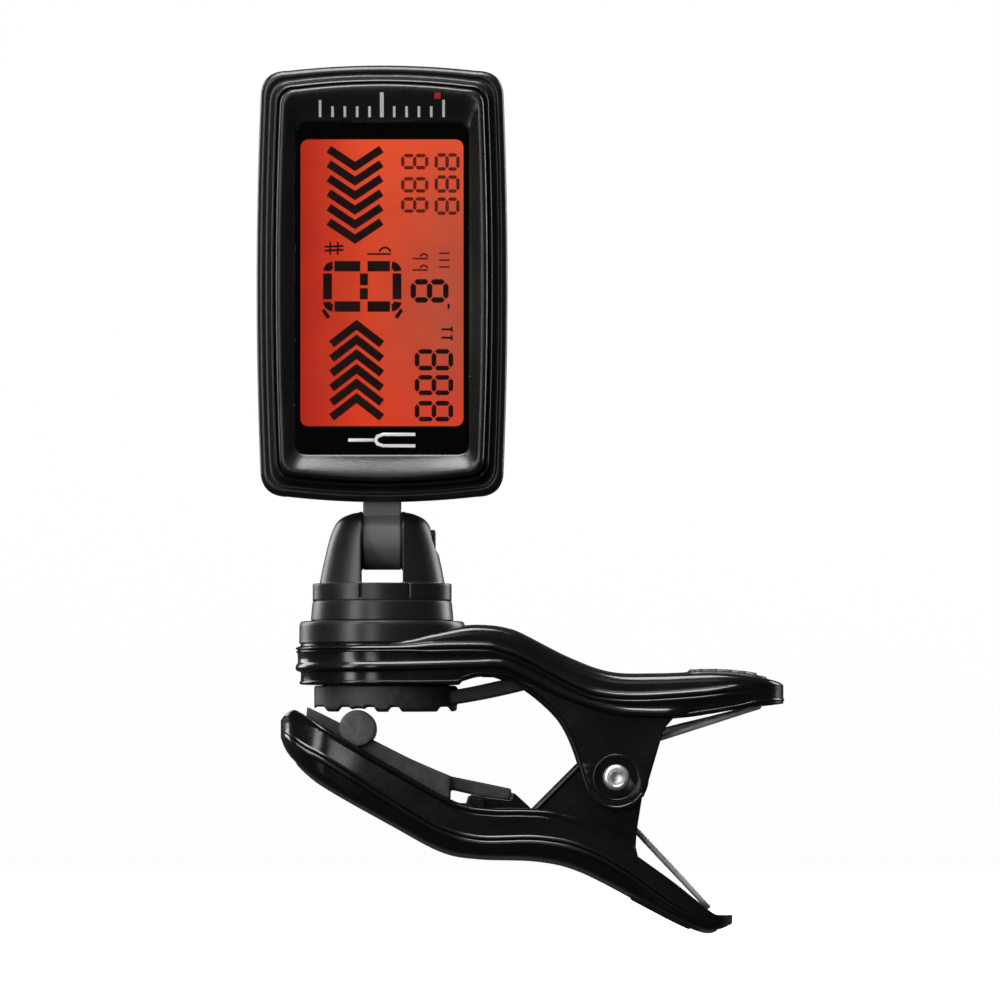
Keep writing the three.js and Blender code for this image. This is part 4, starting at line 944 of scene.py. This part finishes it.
def turret_fork():
    dome = np.vstack([[[0, RING_TOP - 0.08], [9.05, RING_TOP - 0.08], [9.15, RING_TOP],
        [9.15, FLANGE_TOP - 0.12], [9.05, FLANGE_TOP]], spline(DOME, 10)])
    fork = lathe("fork_body", dome, (0, 0, 0), count=120)
    fork.data.transform(Matrix.Diagonal((1, DEPTH, 1, 1)))
    cutters = [slab("slot", -SLOT, SLOT, -12, 12, FLANGE_TOP, 40),
        drum("pin_hole", TILT_CENTRE, PIN_HOLE, -4, 12, "X", 40), drum("screw_seat", TILT_CENTRE, 1.7,
        5.5, 12, "X", 40), drum("well", (0, 0, 0), 1.3, 0, RING_TOP + 1.1, "Z", 96)]
    for x in (-SLOT - 0.02, SLOT + 0.9):
        cutters.append(slab("flange_line", x - 0.16, x + 0.16, -7.62, -6.7, RING_TOP + 0.3,
            FLANGE_TOP + 1))
    carved(fork, cutters)
    melted(fork, 0.12, 2)
    face = KNUCKLE["half"] + 0.01
    boss = [(1.1, face), (KNUCKLE["radius"] - 0.05, face), (KNUCKLE["radius"] + 0.05, face + 0.1),
        (KNUCKLE["radius"] + 0.05, SLOT + 0.3), (1.1, SLOT + 0.3)]
    bosses = [lathe("boss", [(r, sign * x) for r, x in boss], TILT_CENTRE, "X", 80,
        closed=True) for sign in (-1, 1)]
    place(joined("fork", [fork, *bosses]), "turret", TURRET_BLACK, "abs_black", "turret_fork")


def swivel_ring():
    profile = [(1.4, 7.95), (3.6, 7.95), (3.6, 11.7), (3.8, 11.98), (8.98, 11.98), (9.02, 11.87),
        (9.22, 11.87), (9.38, 11.98), (9.37, 12.3), (9.2, 14.15), (9.12, 14.4), (8.95,
        14.48), (1.4, 14.5)]
    ring = lathe("bearing_ring", profile, (0, 0, 0), count=160, closed=True)
    place(ring, "turret", TURRET_BLACK, "abs_black", "swivel_ring")


def tilt_screw():
    """The friction screw: a knurled head on a plain shank, with a cross recess."""
    seat, top, radius, teeth = 5.9, 7.05, 1.4, 13
    turn = np.linspace(0, 2 * math.pi, teeth * 8, endpoint=False)
    knurl = 0.13 * np.cos(turn * teeth)
    levels = [(seat - 0.45, 0.9, 0), (seat, 0.95, 0), (seat + 0.02, radius * 0.93, 0.6),
        (seat + 0.1, radius, 1), (top - 0.22, radius, 1), (top - 0.08, radius * 0.94, 0.7), (top,
        radius * 0.8, 0)]
    rings = []
    for x, r, share in levels:
        size = r - 0.05 + knurl * share
        rings.append(np.column_stack([np.full_like(turn, x), size * np.cos(turn),
            TILT_Z + size * np.sin(turn)]))
    head = skin("head", rings, sharp=50)
    recess = [slab("recess", top - 0.5, 9, -reach, reach, TILT_Z - half, TILT_Z + half) for reach,
        half in ((0.8, 0.2), (0.2, 0.8))]
    carved(head, recess)
    shank = lathe("shank", [(0, -6.1), (0.7, -6.1), (0.9, -5.8), (0.9, 5.9), (0, 5.9)],
        TILT_CENTRE, "X", 40)
    place(joined("friction_screw", [head, shank]), "turret", SCREW_STEEL, "plated_steel", "tilt_screw")


# ---------------------------------------------------------------- display head

HEAD = {"z": 56.2, "half_width": 16.5, "half_height": 28.7, "side_bulge": 0.5,
    "end_bulge": 0.7, "corner": 3.6}
LENS = {"z": 55.4, "half_width": 11.4, "half_height": 21.8, "corner": 1.6}
WINDOW = {"z": 56.2, "half_width": 10.7, "half_height": 18.85, "corner": 1.2}


def outline(z, half_width, half_height, side_bulge, end_bulge, corner, y):
    """A ring of points: a rectangle with bowed sides and round corners, at one depth."""
    a, b = half_width, half_height
    x, top, r = a - side_bulge, b - end_bulge, corner
    t = np.linspace(0, 1, 14)[:, None]

    def bend(start, control, end):
        start, control, end = (np.array(p, float) for p in (start, control, end))
        return start * (1 - t) ** 2 + control * 2 * t * (1 - t) + end * t ** 2

    quarter = np.vstack([bend((a, 0), (a, (top - r) / 2), (x, top - r)),
        bend((x, top - r), (x, top), (x - r, top))[1:], bend((x - r, top),
        ((x - r) / 2, b), (0, b))[1:]])
    loop = np.vstack([quarter, (quarter * (-1, 1))[::-1][1:], (quarter * (-1, -1))[1:],
        (quarter * (1, -1))[::-1][1:-1]])
    return np.column_stack([loop[:, 0], np.full(len(loop), y), loop[:, 1] + z])


def head_ring(inset, y):
    """The head's outline drawn in by an inset."""
    return outline(HEAD["z"], HEAD["half_width"] - inset, HEAD["half_height"] - inset,
        HEAD["side_bulge"], HEAD["end_bulge"], max(HEAD["corner"] - inset * 0.45, 1.2), y)


def window_ring(panel, grow, y):
    """A rectangular opening's outline, with as many points as the head's."""
    return outline(panel["z"], panel["half_width"] + grow, panel["half_height"] + grow, 0.0, 0.0,
        panel["corner"] + grow, y)


RIM_PROFILE = [(0.12, -1.995), (0, -2.12), (0, -2.5), (0.08, -2.85), (0.25, -3.15), (0.5, -3.35),
    (0.72, -3.42), (0.92, -3.36), (1.08, -3.22), (1.3, -3.18), (1.6, -3.42), (1.85, -4.0), (1.95,
    -4.6), (2.0, -4.95), (2.08, -5.12), (2.2, -5.18), (2.32, -5.1), (2.38, -4.9), (2.46, -4.75), (2.54,
    -4.9), (2.58, -5.4), (2.62, -6.0), (2.7, -6.3), (2.85, -6.52), (3.05, -6.6), (3.3, -6.59)]
FRONT_INSIDE = [(3.3, -3.7), (3.2, -3.6), (1.5, -2.4), (1.4, -1.995)]
CREST_INSET, CREST_Y = RIM_PROFILE[-1]
SLOPE_END_Y = -5.3
LENS_FRONT_Y, LENS_BACK_Y = -5.25, -4.42


def front_frame():
    """The front shell: a rounded rim, a bead, a raised edge and a dished slope down to the lens."""
    rings = [head_ring(*level) for level in RIM_PROFILE]
    crest, lens_edge = head_ring(CREST_INSET, CREST_Y), window_ring(LENS, 0.05, SLOPE_END_Y)
    for t in np.linspace(0, 1, 12)[1:]:
        ring = crest * (1 - t) + lens_edge * t
        ring[:, 1] = CREST_Y + (SLOPE_END_Y - CREST_Y) * (0.7 * t + 0.3 * smoothstep(t))
        rings.append(ring)
    rings += [window_ring(LENS, 0.03, -5.26), window_ring(LENS, 0.03, LENS_BACK_Y),
        window_ring(WINDOW, 0, LENS_BACK_Y), window_ring(WINDOW, 0, -3.72)]
    rings += [head_ring(*level) for level in FRONT_INSIDE]
    frame_body = skin("front_shell", rings, closed=True, sharp=50)
    place(frame_body, "case", HEAD_BLACK, "abs_black", "front_frame")


REAR_PROFILE = [(0.12, -1.99), (0, -1.86), (0, 0), (0.06, 1.2), (0.3, 2.5), (0.65, 3.4), (1.1, 4.1),
    (1.8, 4.72), (2.6, 5.05), (3.4, 5.18), (4.4, 5.2)]
REAR_INSIDE = [(4.2, 3.81), (3.0, 3.8), (1.7, 2.2), (1.4, 0), (1.4, -1.99)]
DOOR = {"z": 55, "half_width": 12, "half_height": 13, "corner": 2, "front": 4.35, "back": 5.2}
CLEAR_Y = 9  # behind the head, where its cutters end
# Each button's name, x, z and radius.
BUTTONS = (("power", 0, 77.4, 2.6), ("mode", -6.9, 73.6, 2.1), ("pitch", 6.9, 73.6, 2.1))
SCREWS = [(x, z) for z in (33.3, 79.1) for x in (-12.5, 12.5)]
POST_RADIUS, WELL_RADIUS, BORE_RADIUS = 2.3, 1.85, 1.1


def rear_shell():
    """The rear shell with its seats for door, buttons and screws."""
    outer = [head_ring(*level) for level in REAR_PROFILE]
    inner = [head_ring(*level) for level in REAR_INSIDE]
    shell = skin("rear_body", inner + outer, sharp=50)
    posts = [drum("post", (x, 0, z), POST_RADIUS, 1.5, 4.6) for x, z in SCREWS]
    carved(shell, posts, "UNION")
    door = DOOR
    seat = plate("seat", rounded(0, door["z"], door["half_width"] + 0.25, door["half_height"] + 0.25,
        2.2), door["front"] - 0.2, CLEAR_Y, 0.01)
    opening = plate("opening", rounded(0, door["z"], door["half_width"] - 0.8, door["half_height"] - 0.8,
        1.4), 0, CLEAR_Y, 0.01)
    finger = drum("finger", (0, 0, door["z"] - door["half_height"] - 0.4), 2.6,
        door["front"] + 0.3, CLEAR_Y)
    holes = [drum("hole", (x, 0, z), radius + 0.22, 0, CLEAR_Y) for _, x, z, radius in BUTTONS]
    wells = [drum("well", (x, 0, z), WELL_RADIUS, 2.9, CLEAR_Y) for x, z in SCREWS]
    bores = [drum("bore", (x, 0, z), BORE_RADIUS, -1, CLEAR_Y) for x, z in SCREWS]
    carved(shell, [seat, opening, finger, *holes, *wells, *bores], bevel=0.1, sharp=40)
    place(shell, "case", HEAD_BLACK, "abs_black", "rear_shell")


def neck():
    """The knuckle that the head hangs on, between the turret's ears."""
    half, radius = KNUCKLE["half"], KNUCKLE["radius"]
    knuckle = lathe("knuckle", chamfered(radius, half, 0.1), TILT_CENTRE, "X", 96)
    post = slab("post", -half, half, -1.9, 2.4, TILT_Z, 28.6)
    part = joined("hinge_knuckle", [knuckle, post])
    pin = drum("pin", TILT_CENTRE, PIN_HOLE, -9, 9, "X", 40)
    carved(part, [pin])
    melted(part, 0.12, 2)
    # The knuckle takes the black plastic whose raised base colour is painted light.
    place(part, "case", TONGUE_PAINTED_LIGHT, "abs_black")


def buttons():
    for name, x, z, radius in BUTTONS:
        profile = [(0, 5.72), (radius * 0.5, 5.70), (radius - 0.35, 5.62), (radius - 0.1, 5.48),
            (radius, 5.25), (radius, 3.55), (radius + 0.6, 3.5), (radius + 0.6, 3.1), (0.9, 3.1), (0.9,
            2.75), (0, 2.75)]
        cap = lathe(f"{name}_cap", profile, (x, 0, z), "Y", 64)
        place(cap, f"{name}_button", TRIM, "trim_black", f"{name}_button")


def battery_door():
    door = DOOR
    panel = plate("door_panel", rounded(0, door["z"], door["half_width"], door["half_height"], 2),
        door["front"], door["back"], 0.12)
    ribs = []
    for i in range(4):
        z = door["z"] - door["half_height"] + 3.75 + 1.5 * i
        ribs.append(plate("rib", rounded(0, z, 4.5, 0.35, 0.34), door["back"] - 0.3,
            door["back"] + 0.3, 0.15))
    z_edge = door["half_height"] - 1.1
    hooks = [slab("hook", -3, 3, door["front"] - 0.9, door["front"] + 0.1, door["z"] + z_edge - 0.9,
        door["z"] + z_edge), slab("latch", -2.2, 2.2, door["front"] - 0.8, door["front"] + 0.1,
        door["z"] - z_edge, door["z"] - z_edge + 0.8)]
    cover = joined("door_cover", [panel, *ribs, *hooks])
    place(cover, "battery_door", TRIM, "trim_black", "battery_door")


def lens():
    pane = plate("lens_pane", rounded(0, LENS["z"], LENS["half_width"], LENS["half_height"],
        LENS["corner"], 8), LENS_FRONT_Y, LENS_BACK_Y, 0.04)
    place(pane, "case", LENS_CLEAR, "clear_window", "display_window")


# ---------------------------------------------------------------- display segments

LCD_Z = WINDOW["z"]
FILM = (-3.70, -3.62)  # front and back of the segments


def strip_of(points, width):
    """A polyline drawn with a pen of some width, mitred at its corners."""
    p = np.array(points, float)
    along = unit(np.diff(p, axis=0))
    normals = np.column_stack([-along[:, 1], along[:, 0]])
    mitre = unit(np.vstack([normals[:1], normals[:-1] + normals[1:], normals[-1:]]))
    reach = np.r_[1, 1 / np.maximum((mitre[1:-1] * normals[:-1]).sum(1), 0.4), 1] * width / 2
    return np.vstack([p + mitre * reach[:, None], (p - mitre * reach[:, None])[::-1]])


def bar(u0, v0, u1, v1, width):
    """A display bar between two points, pointed at both ends."""
    a, b = np.array([u0, v0], float), np.array([u1, v1], float)
    along = (b - a) / np.linalg.norm(b - a)
    side = np.array([-along[1], along[0]]) * width / 2
    nose = along * width / 2
    return np.array([a, a + nose + side, b - nose + side, b, b - nose - side, a + nose - side])


def lying_eight(u0, u1, v0, v1, width, gap=0.12):
    """The seven bars of a digit that lies on its side, its top to the left."""
    m = (u0 + u1) / 2
    h = width / 2
    inner0, inner1 = v0 + h, v1 - h
    halves = (u0 + h + gap, m - gap), (m + gap, u1 - h - gap)
    cells = [bar(start, v, end, v, width) for v in (inner0, inner1) for start, end in halves]
    return cells + [bar(u, inner0 + gap, u, inner1 - gap, width) for u in (u0 + h, m, u1 - h)]


def chevrons():
    shapes = []
    for i in range(6):
        v = 15.3 - 1.908 * i
        shapes.append(strip_of([[-7.0, v + 2.3], [-3.54, v], [-0.08, v + 2.3]], 1.04))
        v = -5.5 - 1.925 * i
        shapes.append(strip_of([[-6.62, v - 2.55], [-3.32, v], [-0.02, v - 2.55]], 1.06))
    return shapes


def block(u0, u1, v0, v1):
    return np.array([[u0, v0], [u1, v0], [u1, v1], [u0, v1]])


def big_digit():
    """The note digit, on its side, with heavy bars and rounded outer corners."""
    long_bars = (-6.25, -2.85), (-1.9, 1.05)
    shapes = [block(*span, v - 0.68, v + 0.68) for v in (2.2, -3.1) for span in long_bars]
    shapes += [block(u - 0.58, u + 0.58, -2.15, 1.25) for u in (-7.15, 1.98)]
    shapes += [block(-2.9, -1.85, *span) for span in ((-0.3, 1.25), (-2.15, -0.7))]
    for u, v, start in ((-6.35, 1.45, 90), (1.18, 1.45, 0), (-6.35, -2.38, 180), (1.18, -2.38, 270)):
        outer, inner = (arc(u, v, radius, start + 7, start + 83, 8) for radius in (1.4, 0.4))
        shapes.append(np.vstack([outer, inner[::-1]]))
    return shapes + [strip_of([[u0, -3.5], [u1, -4.6]], 0.5) for u0, u1 in ((-7.75, -7.0), (2.6, 1.85))]


def sharp_sign(u, v, size):
    shapes = []
    for d in (-0.2, 0.2):
        level = v + d * size * 0.5
        shapes.append(strip_of([[u - size / 2, level - 0.06], [u + size / 2, level + 0.06]], 0.26))
        shapes.append(strip_of([[u + d * size, v - size * 0.34], [u + d * size, v + size * 0.34]], 0.24))
    return shapes


def flat_sign(u, v, length, height_up):
    """A flat on its side: a stem with a half-round bowl."""
    stem = strip_of([[u - length / 2, v], [u + length / 2, v]], 0.24)
    r = height_up / 2
    bowl = arc(u + length / 2 - r, v + 0.1, r, 15, 165, 12)
    return [stem, strip_of(bowl, 0.26)]


def display_segments():
    dark = chevrons() + big_digit()
    dark += sharp_sign(-6.3, 4.55, 2.5) + flat_sign(-0.4, 3.8, 3.1, 1.5)
    dark += lying_eight(3.75, 8.75, -2.6, 0.5, 0.72)
    for v0, v1 in ((-11.5, -8.7), (-14.75, -12.1), (-18.2, -15.5)):
        dark += lying_eight(4.3, 9.35, v0, v1, 0.62)
    dark.append(strip_of([[8.75, -2.75], [8.75, -3.4]], 0.3))
    for v in (-6.1, -7.2):
        dark.append(strip_of([[7.8, v], [9.1, v]], 0.26))
        dark.append(strip_of([[9.15, v - 0.35], [9.15, v + 0.35]], 0.26))
    faint = []
    for v in (15.95, 12.9, 10.25):
        faint += lying_eight(2.5, 6.1, v - 1.02, v + 1.02, 0.46, 0.1)
    for v in (15.9, 13.0, 10.1):
        faint += lying_eight(6.9, 10.2, v - 1.15, v + 1.15, 0.46, 0.1)
    faint += flat_sign(5.0, 3.2, 2.0, 1.0) + flat_sign(5.0, 1.7, 2.0, 1.0)
    faint += [strip_of([[7.5, v], [8.9, v]], 0.22) for v in (3.9, 3.0, 2.1)]
    for name, shapes, material in (("lcd_segments", dark, CRYSTAL), ("lcd_small_segments", faint, FAINT)):
        parts = [plate("segment", shape + (0, LCD_Z), *FILM, 0.005) for shape in shapes]
        place(joined(name, parts), "case", material, "lcd_orange")


SCALE_Z = 79.5
TICK_PITCH = 1.62


def on_front(name, x0, x1, z0, z1):
    """A thin printed rectangle that follows the front shell's surface."""
    x, z = np.meshgrid(np.linspace(x0, x1, 3), np.linspace(z0, z1, 9), indexing="ij")
    front = scene.objects["front_shell"]
    depth = np.zeros_like(x)
    for index in np.ndindex(x.shape):
        start = Vector((x[index] * MM, -0.05, z[index] * MM))
        depth[index] = front.ray_cast(start, Vector((0, 1, 0)))[1].y / MM
    outer = np.stack([x, depth - 0.03, z], axis=-1)
    return grid_solid(name, outer, outer + (0, 0.09, 0), np.ones(x.shape, bool))


def printed_marks():
    """A plain tick scale above the window, and a tuning-fork pictogram on its lower border."""
    ticks = []
    for i in range(-5, 6):
        tall, wide = (3.2, 0.5) if i == 0 else (2.2 if abs(i) == 5 else 1.4, 0.34)
        low = SCALE_Z - 1.6
        ticks.append(on_front("tick", i * TICK_PITCH - wide / 2, i * TICK_PITCH + wide / 2,
            low, low + tall))
    place(joined("scale_ticks", ticks), "case", INK_WHITE, "trim_black")
    mark = on_front("centre_mark", 6.9, 7.7, SCALE_Z + 0.75, SCALE_Z + 1.55)
    place(mark, "case", INK_RED, "trim_black")
    prongs = strip_of([[4.4, 0.75], [0.2, 0.75], [-0.55, 0.5], [-0.85, 0], [-0.55, -0.5], [0.2, -0.75],
        [4.4, -0.75]], 0.42)
    stem = strip_of([[-0.95, 0], [-4.4, 0]], 0.42)
    parts = [plate("print", line + (0, LENS["z"] - LENS["half_height"] + 1.9), -5.28, -5.24,
        0.004) for line in (prongs, stem)]
    place(joined("fork_pictogram", parts), "case", INK_WHITE, "trim_black")


upper_jaw()
lower_jaw()
thumb_grips()
pivot_rivet()
torsion_spring()
upper_pad()
lower_pad()
turret_fork()
swivel_ring()
tilt_screw()
front_frame()
rear_shell()
neck()
buttons()
battery_door()
lens()
display_segments()
printed_marks()

# ---------------------------------------------------------------- inner CAD pieces

INSIDE = (
    (LCD_GLOW, ["lcd_panel"]), (DIFFUSER, ["light_guide", "backlight_led_left", "backlight_led_right"]),
    (PAD, ["contact_strip"]), (MASK, ["circuit_board"]), (CHIP, ["tuner_chip"]),
    (INNER, ["battery_holder", "friction_washer"]),
    (BRASS, ["battery_contact_positive", "battery_contact_negative", "piezo_sensor"]),
    (STEEL, ["power_switch", "mode_switch", "pitch_switch", "coin_cell", "case_screw_1", "case_screw_2",
             "case_screw_3", "case_screw_4", "swivel_screw", "swivel_washer", "tilt_nut"]),
)
for material, nodes in INSIDE:
    for node in nodes:
        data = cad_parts[node].data
        data.materials.clear()
        data.materials.append(material)

# ---------------------------------------------------------------- studio


def backdrop():
    """A pale floor that curves up into a round wall, which reflections don't see."""
    p = Paint("pale_paper")
    paper = p.noise(3, 3)
    colour = p.mix(paper, grey(0.80), grey(0.84))
    p.surface(Base_Color=colour, Roughness=0.9, Normal=p.bump(paper, 0.01), Emission_Color=grey(1.0),
        Emission_Strength=0.92)
    turn = np.radians(np.linspace(-90, 0, 24))
    profile = [(0, 0), (300, 0), (900, 0)]
    profile += [(2200 + 600 * math.cos(a), 600 + 600 * math.sin(a)) for a in turn] + [(2800, 2600)]
    floor = lathe("pale_floor", profile, (0, 0, FLOOR_Z), count=128)
    floor.data.materials.append(p.material)
    floor.visible_glossy = floor.visible_diffuse = floor.visible_transmission = False


LIT_POINT = Vector((12, 0, 25))
SOFTBOXES = (  # name, place, width, height, power in watts
    ("top", (-60, -120, 620), 420, 420, 7),
    ("front_strip", (-190, -740, 90), 160, 420, 0.8),
    ("front_top", (-60, -640, 430), 460, 200, 0.34),
    ("left", (-450, -450, 230), 160, 760, 2.4),
    ("back_left", (-560, 560, 260), 320, 480, 2.2),
    ("back_right", (600, 520, 260), 320, 480, 2.2),
)


def softbox(name, place_mm, width, tall, power):
    """A rectangular area light aimed at the tuner."""
    data = bpy.data.lights.new(name, "AREA")
    data.shape = "RECTANGLE"
    data.size, data.size_y = width * MM, tall * MM
    data.energy = power
    lamp = bpy.data.objects.new(name, data)
    lamp.location = Vector(place_mm) * MM
    lamp.rotation_mode = "QUATERNION"
    lamp.rotation_quaternion = (LIT_POINT - Vector(place_mm)).to_track_quat("-Z", "Y")
    scene.collection.objects.link(lamp)


def studio():
    backdrop()
    world = bpy.data.worlds.new("studio")
    world.use_nodes = True
    background = world.node_tree.nodes["Background"]
    background.inputs["Color"].default_value = (1, 1, 1, 1)
    background.inputs["Strength"].default_value = 0.05
    scene.world = world
    for box in SOFTBOXES:
        softbox(*box)


studio()

AIM = (15.5, 0, 27.8)
CAMERA_DISTANCE = 1400
CAMERA_ELEVATION = -1.7
FRAME_WIDTH = 131.6


def camera():
    data = bpy.data.cameras.new("camera")
    data.sensor_width = 36
    data.lens = data.sensor_width * CAMERA_DISTANCE / FRAME_WIDTH
    data.clip_start = 0.1
    data.clip_end = 30
    cam = bpy.data.objects.new("camera", data)
    e = math.radians(CAMERA_ELEVATION)
    away = Vector((0, -math.cos(e), math.sin(e))) * CAMERA_DISTANCE
    cam.location = (Vector(AIM) + away) * MM
    cam.rotation_euler = (math.pi / 2 - e, 0, 0)
    scene.collection.objects.link(cam)
    scene.camera = cam


camera()
scene.view_settings.view_transform = "Standard"
